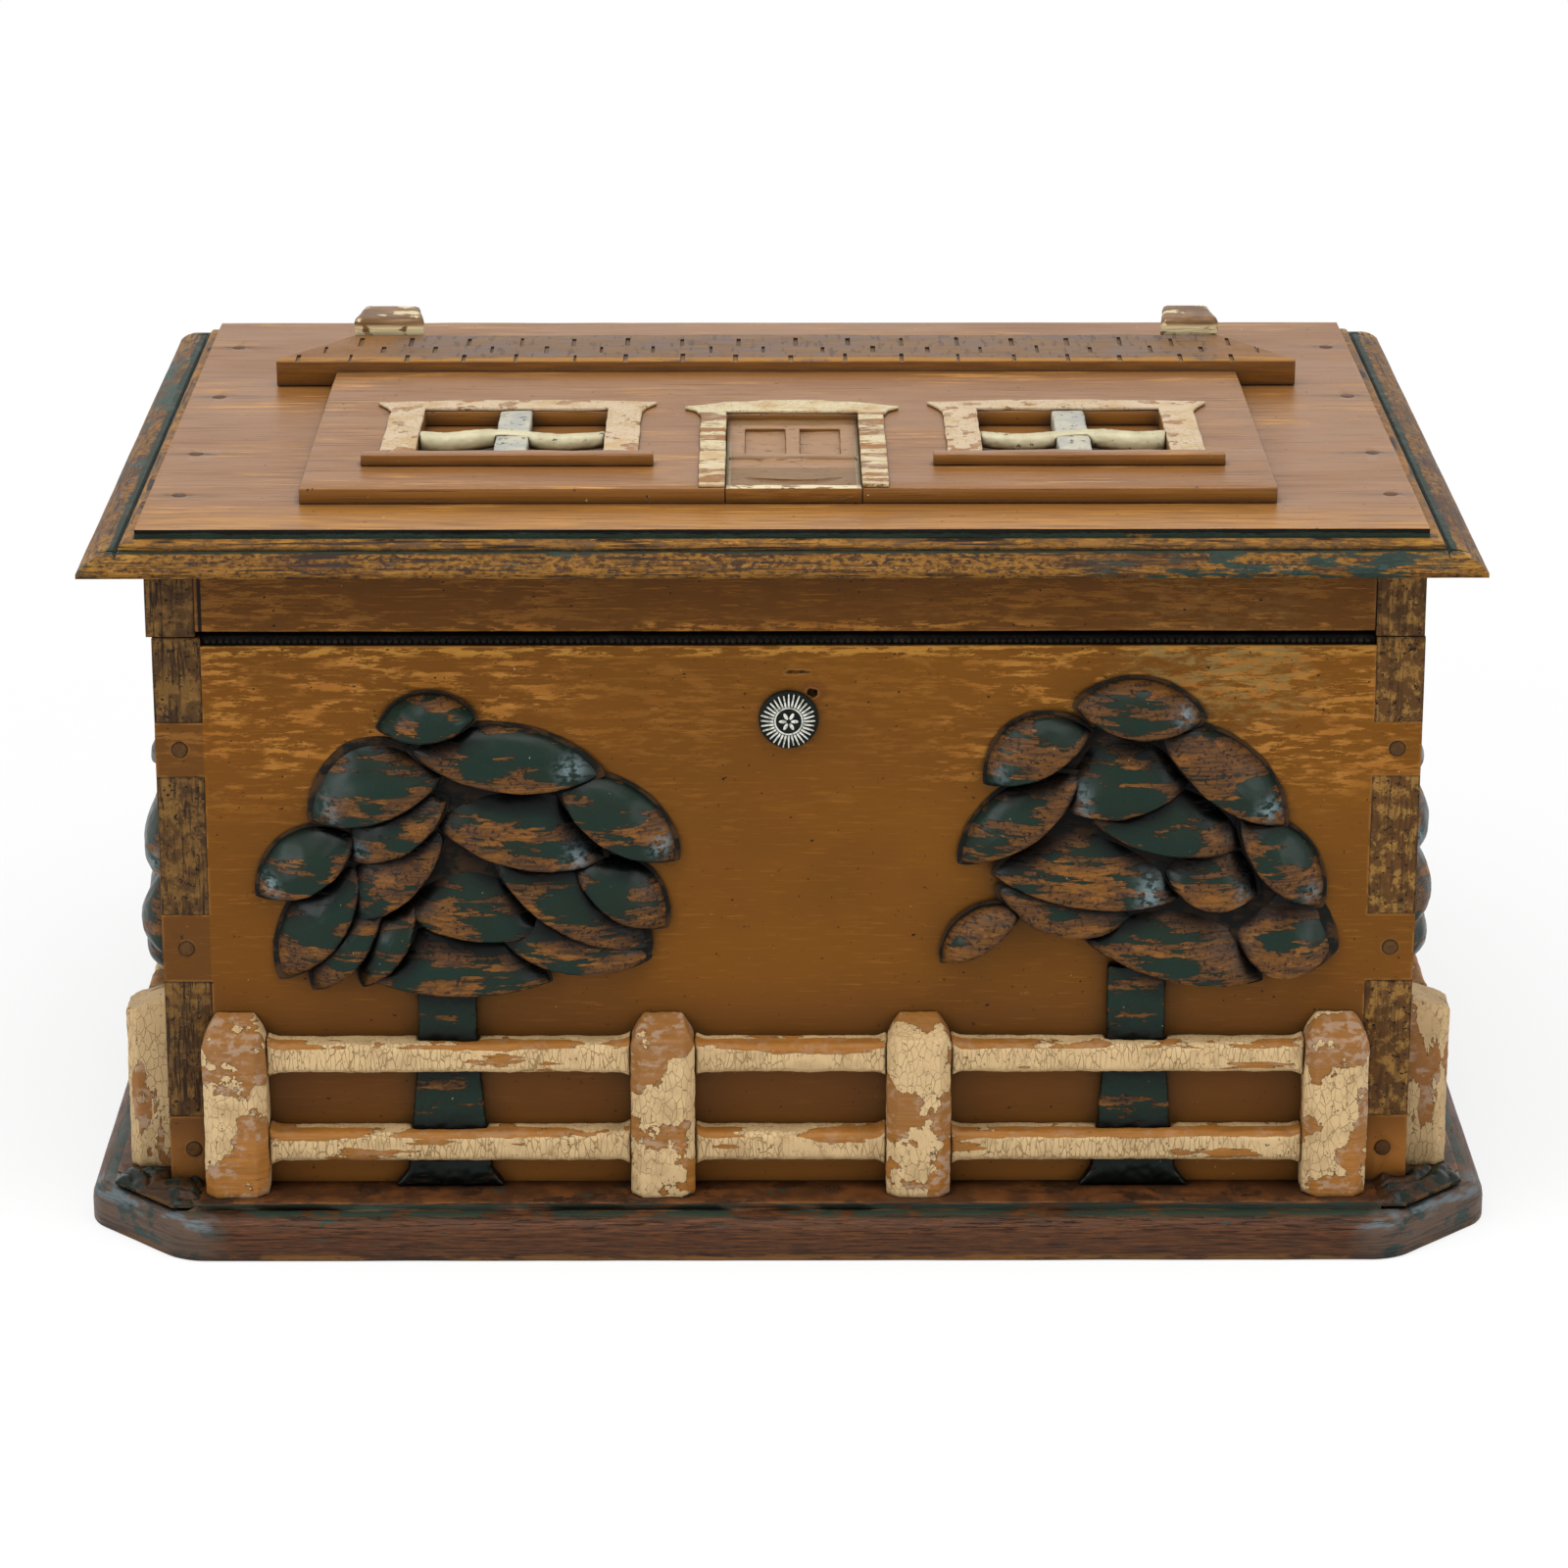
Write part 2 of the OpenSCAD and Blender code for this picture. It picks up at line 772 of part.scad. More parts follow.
// One leaf with its own knuckles; up is 1 for the leaf in the lid and -1 for the one in the carcass
module hinge_leaf(up) {
    plate_z = up > 0 ? kerf / 2 : -kerf / 2 - hinge_leaf_t;
    first = up > 0 ? 1 : 0;
    difference() {
        union() {
            translate([-hinge_len / 2, hinge_plate_y - hinge_leaf_w, plate_z])
                cube([hinge_len, hinge_leaf_w, hinge_leaf_t]);
            for (i = [first : 2 : knuckle_count - 1]) {
                x0 = -hinge_len / 2 + i * knuckle_len + knuckle_gap / 2;
                barrel_l = knuckle_len - knuckle_gap;
                translate([x0, hinge_plate_y - over, plate_z])
                    cube([barrel_l, over - hinge_plate_y, hinge_leaf_t]);
                translate([x0, 0, 0]) rotate([0, 90, 0]) cylinder(h = barrel_l, r = knuckle_r);
            }
        }
        translate([-hinge_len, 0, 0]) rotate([0, 90, 0])
            cylinder(h = 2 * hinge_len, r = hinge_pin_r + hinge_pin_fit);
        screw_spots() if (up > 0) lid_screw(fixing_fit, over); else box_screw(fixing_fit, over);
    }
}

module screw_spots() {
    for (x = screw_places) translate([x, hinge_plate_y - hinge_leaf_w / 2, 0]) children();
}

// A countersunk screw, head up; fit widens it to its hole and rise runs the hole clear of the face
module screw(fit, rise) {
    translate([0, 0, -screw_l]) cylinder(h = screw_l + (fit > 0 ? rise : 0), r = screw_r + fit);
    translate([0, 0, -hinge_leaf_t]) cylinder(h = hinge_leaf_t, r1 = screw_r + fit, r2 = screw_head_r + fit);
    if (fit > 0) cylinder(h = rise, r = screw_head_r + fit);
}

module box_screw(fit, rise) {
    translate([0, 0, -kerf / 2]) screw(fit, rise);
}

module lid_screw(fit, rise) {
    mirror([0, 0, 1]) box_screw(fit, rise);
}

module hinge_box_leaves() {
    color(steel) hinge_places() hinge_leaf(-1);
}

module hinge_lid_leaves() {
    color(steel) hinge_places() hinge_leaf(1);
}

module hinge_pins() {
    color(steel) hinge_places() {
        translate([-hinge_len / 2, 0, 0]) rotate([0, 90, 0]) cylinder(h = hinge_len, r = hinge_pin_r);
        for (side = [-1, 1])
            translate([side * (hinge_len + hinge_pin_head) / 2, 0, 0]) rotate([0, 90, 0])
                cylinder(h = hinge_pin_head, r = hinge_pin_head_r, center = true);
    }
}

module hinge_box_screws() {
    color(steel) hinge_places() screw_spots() box_screw(0, 0);
}

module hinge_lid_screws() {
    color(steel) hinge_places() screw_spots() lid_screw(0, 0);
}

// Lid

module lid_board() {
    toe = 1.1;
    quirk = 2.2;
    bead_r = 1.8;
    groove_deep = 1;
    groove_wide = 1.2;
    bead_z = lid_h - quirk - bead_r;
    groove_x = lid_edge - 2 * bead_r;
    groove_z = bead_z - groove_deep;
    ovolo = stretched_arc(groove_x - groove_wide, groove_z + groove_deep - toe, 40, 6);
    section = concat(
        [[0, 0]],
        [for (p = ovolo) [p[0], p[1] + toe]],
        [[groove_x, groove_z]],
        arc(groove_x + bead_r, bead_z, bead_r, 180, 90, 4),
        [[lid_edge, lid_h - quirk], [lid_edge, lid_h]]
    );
    color(lid_brown)
        difference() {
            translate([-lid_shift, 0, lid_z]) moulded_board(lid_w, lid_d, 0, section);
            lid_nail_holes();
        }
}

module lid_side_rail(x0) {
    color(ochre)
        difference() {
            translate([x0, -body_d / 2, seam_z + kerf]) cube([wall, body_d, lid_rail_h]);
            lid_nail_holes();
        }
}

module lid_left_rail() {
    lid_side_rail(lid_left);
}

module lid_right_rail() {
    lid_side_rail(lid_right - wall);
}

module lid_front_rail() {
    color(ochre)
        translate([lid_left + wall, -body_d / 2, front_rail_z])
            cube([lid_frame_w - 2 * wall, wall, lid_z - front_rail_z]);
}

module lid_back_rail() {
    color(ochre)
        difference() {
            translate([lid_left + wall, body_d / 2 - wall, seam_z + kerf])
                cube([lid_frame_w - 2 * wall, wall, lid_rail_h]);
            hinge_places() {
                translate([0, 0, kerf / 2 - over]) hinge_pocket();
                screw_spots() lid_screw(fixing_fit, over);
            }
        }
}

module lid_lining() {
    color(black_cloth)
        translate([lid_left + wall, -inner_d / 2, lid_z - lining_t])
            cube([lid_frame_w - 2 * wall, inner_d, lining_t]);
}

module lid_nails() {
    color(steel) lid_nail_places() lid_nail();
}

// Cottage, lying on the lid with its roof to the back

module cottage_front() {
    color(lid_brown)
        translate([0, 0, lid_top])
            linear_extrude(facade_t)
                difference() {
                    translate([-facade_half_w, -facade_y]) square([2 * facade_half_w, facade_y + eave_y]);
                    window_places() translate([-window_w / 2, 0]) square([window_w, window_h]);
                    translate([-door_w / 2 + door_x, -facade_y - over]) square([door_w, door_h + over]);
                }
}

module cottage_roof() {
    color(ochre)
        translate([0, eave_y, lid_top])
            linear_extrude(roof_t)
                polygon([
                    [-eave_half_w, 0], [eave_half_w, 0], [eave_half_w, eave_end],
                    [ridge_half_w, roof_d], [-ridge_half_w, roof_d], [-eave_half_w, eave_end]
                ]);
}

// A chimney against the ridge, narrower at its far end
module chimney(x, width) {
    near = width / 2;
    far = near * chimney_taper;
    color(lid_brown)
        translate([x, eave_y + roof_d, lid_top])
            linear_extrude(chimney_h)
                polygon([[-near, 0], [near, 0], [far, chimney_d], [-far, chimney_d]]);
}

module left_chimney() {
    chimney(left_chimney_x, left_chimney_w);
}

module right_chimney() {
    chimney(right_chimney_x, right_chimney_w);
}

// Local origin at the middle of a window opening's foot, in the plane of the lid
module window_places(side = 0) {
    if (side <= 0) translate([-window_x + door_x, window_y]) children();
    if (side >= 0) translate([window_x + door_x, window_y]) children();
}

// Jambs and an arched head with flared ears, round an opening that stands on local Y 0
module surround(open_w, open_h, jamb_w, head_h, ear, arch) {
    outer = open_w / 2 + jamb_w;
    top = open_h + head_h;
    steps = 8;
    flare = [[0, -0.4], [0.3, 0.1]];
    side = [for (f = flare) [outer + ear * f[0], open_h + head_h * f[1]]];
    head = [for (i = [0 : steps]) let (t = 1 - 2 * i / steps) [t * (outer + ear), top - arch * t * t]];
    difference() {
        polygon(concat([[-outer, 0], [outer, 0]], side, head, mirrored(side)));
        translate([-open_w / 2, -over]) square([open_w, open_h + over]);
    }
}

module window_frame(side) {
    color(cream)
        translate([0, 0, facade_top])
            linear_extrude(trim_t)
                window_places(side)
                    surround(window_w, window_h, window_jamb_w, window_head, window_ear, window_arch);
}

module window_sill(side) {
    color(ochre)
        translate([0, 0, facade_top])
            linear_extrude(sill_t)
                window_places(side) translate([-sill_w / 2, -sill_d]) square([sill_w, sill_d]);
}

module upright_bar(side) {
    color(cream)
        translate([0, 0, lid_top])
            linear_extrude(upright_t)
                window_places(side) translate([-upright_w / 2, fixing_fit])
                    square([upright_w, window_h - 2 * fixing_fit]);
}

// A round stick laid over the upright and let in where they cross
module cross_bar(side) {
    length = window_w - 2 * fixing_fit;
    lap = upright_w / 2 + fixing_fit;
    color(cream)
        window_places(side)
            translate([0, window_h / 2, lid_top + cross_d / 2])
                difference() {
                    rotate([0, 90, 0]) cylinder(h = length, r = cross_d / 2, center = true);
                    translate([-lap, -cross_d, -cross_d / 2 - over])
                        cube([2 * lap, 2 * cross_d, upright_t + over + fixing_fit]);
                }
}

module left_window_frame() {
    window_frame(-1);
}

module left_window_sill() {
    window_sill(-1);
}

module left_upright_bar() {
    upright_bar(-1);
}

module left_cross_bar() {
    cross_bar(-1);
}

module right_window_frame() {
    window_frame(1);
}

module right_window_sill() {
    window_sill(1);
}

module right_upright_bar() {
    upright_bar(1);
}

module right_cross_bar() {
    cross_bar(1);
}

module door_frame() {
    color(cream)
        translate([door_x, -facade_y, facade_top])
            linear_extrude(trim_t)
                surround(door_w, door_h, door_jamb_w, door_head, door_ear, door_arch);
}

// Door leaf: two sunk panes above a middle ledge, and a raised threshold
module door_leaf() {
    leaf_w = door_w - 2 * fixing_fit;
    threshold_d = 3;
    ledge_y = 31.5;
    ledge_d = 2;
    ledge_rise = 0.7;
    ledge_inset = 1;
    pane_y = 38;
    pane_w = 10;
    pane_h = 26;
    pane_deep = 1.2;
    mullion_w = 3.6;
    color(ochre)
        translate([door_x, -facade_y, lid_top]) {
            difference() {
                translate([-leaf_w / 2, 0, 0]) cube([leaf_w, door_h - fixing_fit, door_t]);
                for (x = [-pane_w - mullion_w / 2, mullion_w / 2])
                    translate([x, pane_y, door_t - pane_deep]) cube([pane_w, pane_h, pane_deep + over]);
            }
            translate([-leaf_w / 2, 0, 0]) cube([leaf_w, threshold_d, facade_t]);
            translate([-leaf_w / 2 + ledge_inset, ledge_y, 0])
                cube([leaf_w - 2 * ledge_inset, ledge_d, door_t + ledge_rise]);
        }
}

base_board();
front_wall();
back_wall();
left_wall();
right_wall();
corner_pegs();
base_nails();
front_stud();
lining_floor();
lining_front();
lining_back();
lining_left();
lining_right();
front_fence_posts();
front_upper_rail();
front_lower_rail();
left_fence_posts();
left_upper_rail();
left_lower_rail();
right_fence_posts();
right_upper_rail();
right_lower_rail();
front_left_trunk();
front_left_canopy();
front_right_trunk();
front_right_canopy();
left_side_trunks();
left_near_canopy();
left_far_canopy();
right_side_trunks();
right_near_canopy();
right_far_canopy();
hinge_box_leaves();
hinge_pins();
hinge_box_screws();
lid_board();
lid_front_rail();
lid_back_rail();
lid_left_rail();
lid_right_rail();
lid_lining();
lid_nails();
hinge_lid_leaves();
hinge_lid_screws();
cottage_front();
cottage_roof();
left_chimney();
right_chimney();
left_window_frame();
left_window_sill();
left_upright_bar();
left_cross_bar();
right_window_frame();
right_window_sill();
right_upright_bar();
right_cross_bar();
door_frame();
door_leaf();
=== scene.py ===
import math
import random

import bpy
from bpy.props import FloatProperty, FloatVectorProperty, IntProperty, PointerProperty
from mathutils import Matrix, Vector, noise


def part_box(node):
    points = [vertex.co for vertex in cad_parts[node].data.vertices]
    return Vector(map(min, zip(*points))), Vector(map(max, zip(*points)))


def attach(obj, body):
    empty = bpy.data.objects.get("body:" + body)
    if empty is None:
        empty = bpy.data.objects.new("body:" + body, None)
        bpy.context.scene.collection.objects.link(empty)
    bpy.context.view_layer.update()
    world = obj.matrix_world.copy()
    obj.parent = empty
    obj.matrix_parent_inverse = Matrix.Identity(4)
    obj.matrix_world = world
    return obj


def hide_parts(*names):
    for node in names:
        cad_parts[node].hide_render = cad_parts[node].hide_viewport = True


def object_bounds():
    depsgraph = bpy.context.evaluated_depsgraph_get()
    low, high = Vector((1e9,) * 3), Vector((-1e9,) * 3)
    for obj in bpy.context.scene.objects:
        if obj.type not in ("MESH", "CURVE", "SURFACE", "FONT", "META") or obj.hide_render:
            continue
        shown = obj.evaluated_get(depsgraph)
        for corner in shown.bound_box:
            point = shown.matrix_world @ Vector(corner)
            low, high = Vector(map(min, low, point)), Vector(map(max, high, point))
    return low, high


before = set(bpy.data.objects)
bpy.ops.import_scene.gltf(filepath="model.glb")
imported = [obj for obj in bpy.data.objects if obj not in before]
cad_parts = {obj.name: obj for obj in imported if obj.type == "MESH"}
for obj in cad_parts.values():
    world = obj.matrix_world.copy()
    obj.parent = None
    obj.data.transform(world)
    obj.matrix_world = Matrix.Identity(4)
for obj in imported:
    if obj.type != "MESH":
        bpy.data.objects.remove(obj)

bl_info = {
    "name": "Painted wooden box",
    "version": (1, 0, 0),
    "blender": (4, 5, 0),
    "location": "3D View > Sidebar > Painted box",
    "description": "Carved and painted finish of a wooden box with a cottage garden",
    "category": "Object",
}

CAD_LOW, CAD_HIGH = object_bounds()
MM = 0.001


def corners(node):
    """The lowest and highest corners of a construction piece, in mm."""
    return [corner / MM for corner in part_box(node)]


def span(node, axis):
    """Where a construction piece starts and ends along an axis, in mm."""
    return [getattr(corner, axis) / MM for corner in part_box(node)]


# Where the pieces stand, in mm: the same values as in the construction
FRONT_Y = span("front_wall", "y")[0]
BACK_Y = span("back_wall", "y")[1]
LEFT_X, LEFT_INNER_X = span("left_wall", "x")
RIGHT_INNER_X, RIGHT_X = span("right_wall", "x")
BASE_TOP = span("base_board", "z")[1]
LID_LOW, LID_HIGH = corners("lid_board")
LID_TOP = span("lid_board", "z")[1]
SEAM = span("front_wall", "z")[1]
# Past the object on any side, for bands that have one end only
FAR = 400

# The splintered hole and the gouge beside the stud, to the right of its middle and above it, in mm
HOLE, GOUGE = (5.6, 6.3), (2.0, 11.5)

# Leaves: left tip and right tip, from the trunk's middle and the base board's top, then how far
# the leaf bulges above and below the line between its tips, all in mm
LEFT_LEAVES = [
    (-15, 117, 8, 119.5, 7, 4), (-8, 111, 38, 105, 9, 6), (-32, 94, 0, 105, 14, 5),
    (-24, 84, 1, 99, 9, 5.5), (-45, 75, -21, 90, 8.5, 6), (-25, 68, 0, 91, 10, 6),
    (-40, 54, -21, 83, 8, 7), (-32, 51, -15, 73, 7, 4.5), (-20, 52, -7, 73, 6, 4),
    (-2, 93, 39, 84, 17, 5.5), (27, 104, 56, 84, 8.5, 6.5), (-11, 71, 24, 66, 18, 4),
    (11, 85, 49, 61, 12, 6.5), (31, 83, 53, 67, 9, 5), (-20, 54, 25, 53, 18, 3),
    (12, 65, 49, 59, 10, 6),
]
RIGHT_LEAVES = [
    (-16, 122, 15, 119, 8, 5.5), (-37, 103, -12, 116, 10, 4), (-19, 97, 12, 104, 17, 5),
    (4, 117, 35, 92, 9, 5.5), (-43, 83, -14, 105, 8, 5.5), (-12, 94, 25, 87, 14, 4.5),
    (-35, 80, 10, 74, 18, 4.5), (24, 94, 44, 72, 8, 5.5), (6, 81, 29, 75, 13, 6),
    (-47, 58, -28, 71, 6.5, 3), (-34, 76, -1, 68.5, 8, 7), (-12, 63, 30, 53, 17, 4),
    (23, 66, 48, 61, 13, 9),
]
SIDE_LEAVES = [
    (-15, 92, 12, 94, 6.5, 4.5), (-33, 75, -8, 91, 8.5, 5.5), (-12, 82, 21, 79, 14, 5.5),
    (12, 89, 39, 71, 8.5, 5.5), (-41, 59, -20, 78, 8, 6), (-25, 66, 9, 68, 14, 5),
    (-1, 70, 35, 61, 13, 5), (27, 71, 43, 53, 7, 6), (-35, 49, -6, 60, 13, 4.5),
    (-11, 54, 27, 52, 14, 4), (16, 57, 37, 48, 10, 4.5),
]
# The dark ground behind the leaves, in the same terms
LEFT_GROUND = (-33, 78, 43, 78, 30, 16)
RIGHT_GROUND = (-26, 82, 36, 80, 30, 25)
SIDE_GROUND = (-27, 68, 31, 68, 20, 12)
# How far a side tree stands from the middle of its wall, in mm
SIDE_TREE = 46


def linear(code):
    """The linear colour of an sRGB hex value."""
    parts = [int(code[i:i + 2], 16) / 255 for i in (1, 3, 5)]
    return [p / 12.92 if p <= 0.04045 else ((p + 0.055) / 1.055) ** 2.4 for p in parts]


def length(title, about, metres):
    """A length that a user may change."""
    return FloatProperty(name=title, description=about, default=metres, unit="LENGTH")


def swatch(title, about, code):
    """A colour that a user may change, given as a hex value."""
    return FloatVectorProperty(
        name=title, description=about, default=linear(code), size=3, min=0, max=1, subtype="COLOR")


class PaintedBoxSizes(bpy.types.PropertyGroup):
    """Sizes of the carving and the wear."""
    edge_ease: length("Eased edges", "Rounding of the boards' edges", 0.0005)
    hand_relief: length("Hand relief", "Height of the unevenness left by hand planing", 0.00025)
    carving_grain: length("Carving grain", "Cell size of the carved pieces' surface", 0.0007)
    leaf_lift: FloatProperty(
        name="Leaf lift", description="Angle by which a leaf's lower edge stands off the wall",
        default=math.radians(24), subtype="ANGLE")
    leaf_proud: length("Leaf height", "How far the leaves stand out from the wall", 0.0099)
    ray_count: IntProperty(name="Rays", description="Number of rays round the stud", default=32, min=8)
    bead_pitch: length("Bead pitch", "Distance between the beads of the lining's edge", 0.0016)


class PaintedBoxColours(bpy.types.PropertyGroup):
    """Colours of the paints and woods."""
    ochre: swatch("Ochre paint", "Oil paint of the walls", "#72460d")
    ochre_worn: swatch("Worn ochre", "Wood that shows through the ochre paint", "#a5702f")
    lid: swatch("Lid paint", "Thin brown paint of the lid and the cottage", "#7f5426")
    lid_worn: swatch("Worn lid", "Wood that shows through the lid's paint", "#b58240")
    base: swatch("Base stain", "Dark stain of the base board", "#472a15")
    base_worn: swatch("Worn base", "Wood that shows through the base's stain", "#8a5c2c")
    cream: swatch("Cream paint", "Old cream paint of the fence", "#c8aa7c")
    trim: swatch("Trim paint", "Cream paint of the window frames", "#bea88a")
    white: swatch("White paint", "Paint of the window bars", "#bdb391")
    green: swatch("Dark green enamel", "Enamel of the leaves and trunks", "#13271f")
    green_worn: swatch("Worn green", "Wood that shows through the green enamel", "#805222")
    cloth: swatch("Black cloth", "Cloth of the lining", "#0d0b0a")
    iron: swatch("Dark iron", "Iron of the hinges and nails", "#3c3630")
    peg: swatch("Peg wood", "End grain of the corner pegs", "#553819")


def sizes():
    return bpy.context.scene.painted_box_sizes


def colours():
    return bpy.context.scene.painted_box_colours


# Selection and editing

def alone(obj):
    """Leaves only this object selected, and active."""
    bpy.ops.object.select_all(action="DESELECT")
    obj.select_set(True)
    bpy.context.view_layer.objects.active = obj


def open_mesh(obj):
    alone(obj)
    bpy.ops.object.mode_set(mode="EDIT")
    bpy.ops.mesh.select_all(action="SELECT")


def close_mesh():
    bpy.ops.object.mode_set(mode="OBJECT")


def select(obj, kind, test):
    """Opens the mesh with only those edges or faces selected that pass the test."""
    open_mesh(obj)
    bpy.ops.mesh.select_mode(type=kind)
    bpy.ops.mesh.select_all(action="DESELECT")
    close_mesh()
    for item in obj.data.edges if kind == "EDGE" else obj.data.polygons:
        item.select = test(item)
    bpy.ops.object.mode_set(mode="EDIT")


def primitive(kind, **settings):
    """Adds a primitive mesh with everything else deselected."""
    bpy.ops.object.select_all(action="DESELECT")
    getattr(bpy.ops.mesh, f"primitive_{kind}_add")(**settings)
    return bpy.context.object


def modify(obj, kind, **settings):
    """Adds a modifier and applies it."""
    alone(obj)
    bpy.ops.object.modifier_add(type=kind)
    modifier = obj.modifiers[-1]
    for name, value in settings.items():
        setattr(modifier, name, value)
    bpy.ops.object.modifier_apply(modifier=modifier.name)


def settle(obj, name):
    """Moves an object's place into its mesh and names it."""
    alone(obj)
    bpy.ops.object.transform_apply(location=True, rotation=True, scale=True)
    obj.name = name
    obj.data.name = name
    return obj


def joined(parts, name):
    """Joins objects into the first one."""
    bpy.ops.object.select_all(action="DESELECT")
    for part in parts:
        part.select_set(True)
    bpy.context.view_layer.objects.active = parts[0]
    bpy.ops.object.join()
    parts[0].name = name
    return parts[0]


def cut_out(obj, cutters):
    """Cuts the shapes out of an object and removes them."""
    cutter = joined(cutters, "cutter")
    modify(obj, "BOOLEAN", object=cutter, operation="DIFFERENCE", solver="EXACT")
    bpy.data.objects.remove(cutter)


def linked(name, data):
    """A new object in the scene."""
    obj = bpy.data.objects.new(name, data)
    bpy.context.scene.collection.objects.link(obj)
    return obj


def copied(node, name):
    """A copy of a construction piece, its loose triangles merged into plain faces."""
    obj = linked(name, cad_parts[node].data.copy())
    obj.data.name = name
    obj.data.materials.clear()
    open_mesh(obj)
    bpy.ops.mesh.remove_doubles(threshold=1e-6)
    bpy.ops.mesh.dissolve_limited(angle_limit=math.radians(1))
    close_mesh()
    return obj


def cut_grid(obj, cell):
    """Cuts the mesh along planes a cell apart, so that it can be shaped."""
    low = [min(v.co[i] for v in obj.data.vertices) for i in range(3)]
    high = [max(v.co[i] for v in obj.data.vertices) for i in range(3)]
    open_mesh(obj)
    for axis in range(3):
        count = int((high[axis] - low[axis]) / cell)
        for step in range(1, count + 1):
            place = [0.0, 0.0, 0.0]
            normal = [0.0, 0.0, 0.0]
            place[axis] = low[axis] + (high[axis] - low[axis]) * step / (count + 1)
            normal[axis] = 1.0
            bpy.ops.mesh.select_all(action="SELECT")
            bpy.ops.mesh.bisect(plane_co=place, plane_no=normal)
    close_mesh()


def uneven(obj, height, scale):
    """Moves the surface in and out by a cloud pattern of this scale."""
    cloud = bpy.data.textures.new(obj.name + "_relief", type="CLOUDS")
    cloud.noise_scale = scale
    modify(obj, "DISPLACE", texture=cloud, texture_coords="GLOBAL", strength=height, mid_level=0.5)


def soft_shade(obj, degrees=35):
    alone(obj)
    bpy.ops.object.shade_smooth_by_angle(angle=math.radians(degrees))


def board(node, finished, cell, ease=None, relief=None, scale=0.02, shape=None):
    """A planed board: eased edges and a slightly uneven face; shape is a change made before them."""
    obj = copied(node, f"{node}_{finished}")
    if shape:
        shape(obj)
    modify(obj, "BEVEL", width=ease or sizes().edge_ease, segments=2, limit_method="ANGLE",
           angle_limit=math.radians(30), harden_normals=False)
    cut_grid(obj, cell)
    uneven(obj, relief or sizes().hand_relief, scale)
    soft_shade(obj)
    return obj


def carved(node, finished, relief=0.0006, scale=0.006, grain=None, passes=2):
    """A knife-carved piece: soft edges and small facets."""
    obj = copied(node, f"{node}_{finished}")
    modify(obj, "REMESH", mode="VOXEL", voxel_size=grain or sizes().carving_grain)
    modify(obj, "SMOOTH", factor=0.5, iterations=passes)
    uneven(obj, relief, scale)
    uneven(obj, relief / 3, scale / 4)
    soft_shade(obj, 60)
    return obj


def place_piece(obj, body, slot, paint, *nodes):
    """Gives a piece its paint and its place in the assembly, inside the construction's outer size."""
    for vertex in obj.data.vertices:
        for i in range(3):
            vertex.co[i] = min(max(vertex.co[i], CAD_LOW[i]), CAD_HIGH[i])
    if not obj.data.materials:
        obj.data.materials.append(finish(paint))
    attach(obj, body)
    if nodes:
        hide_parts(*nodes)


def paint_faces(obj, paint, test):
    """Gives the faces that pass a test, by centre in mm and normal, another paint."""
    obj.data.materials.append(finish(paint))
    index = len(obj.data.materials) - 1
    for face in obj.data.polygons:
        if test(face.center / MM, face.normal):
            face.material_index = index


# Materials

class Mask:
    """A node's output used as a number: * is what both cover, | what either covers, 1 - the rest."""

    def __init__(self, paint, socket):
        self.paint = paint
        self.socket = socket

    def part(self, name):
        """Another output of the same node."""
        return Mask(self.paint, self.socket.node.outputs[name])

    def __mul__(self, other):
        return self.paint.add("Math", [self, other], operation="MULTIPLY")

    def __or__(self, other):
        return self.paint.add("Math", [self, other], operation="MAXIMUM")

    def __add__(self, other):
        return self.paint.add("Math", [self, other], operation="ADD")

    def __rsub__(self, whole):
        return self.paint.add("Math", [whole, self], operation="SUBTRACT")


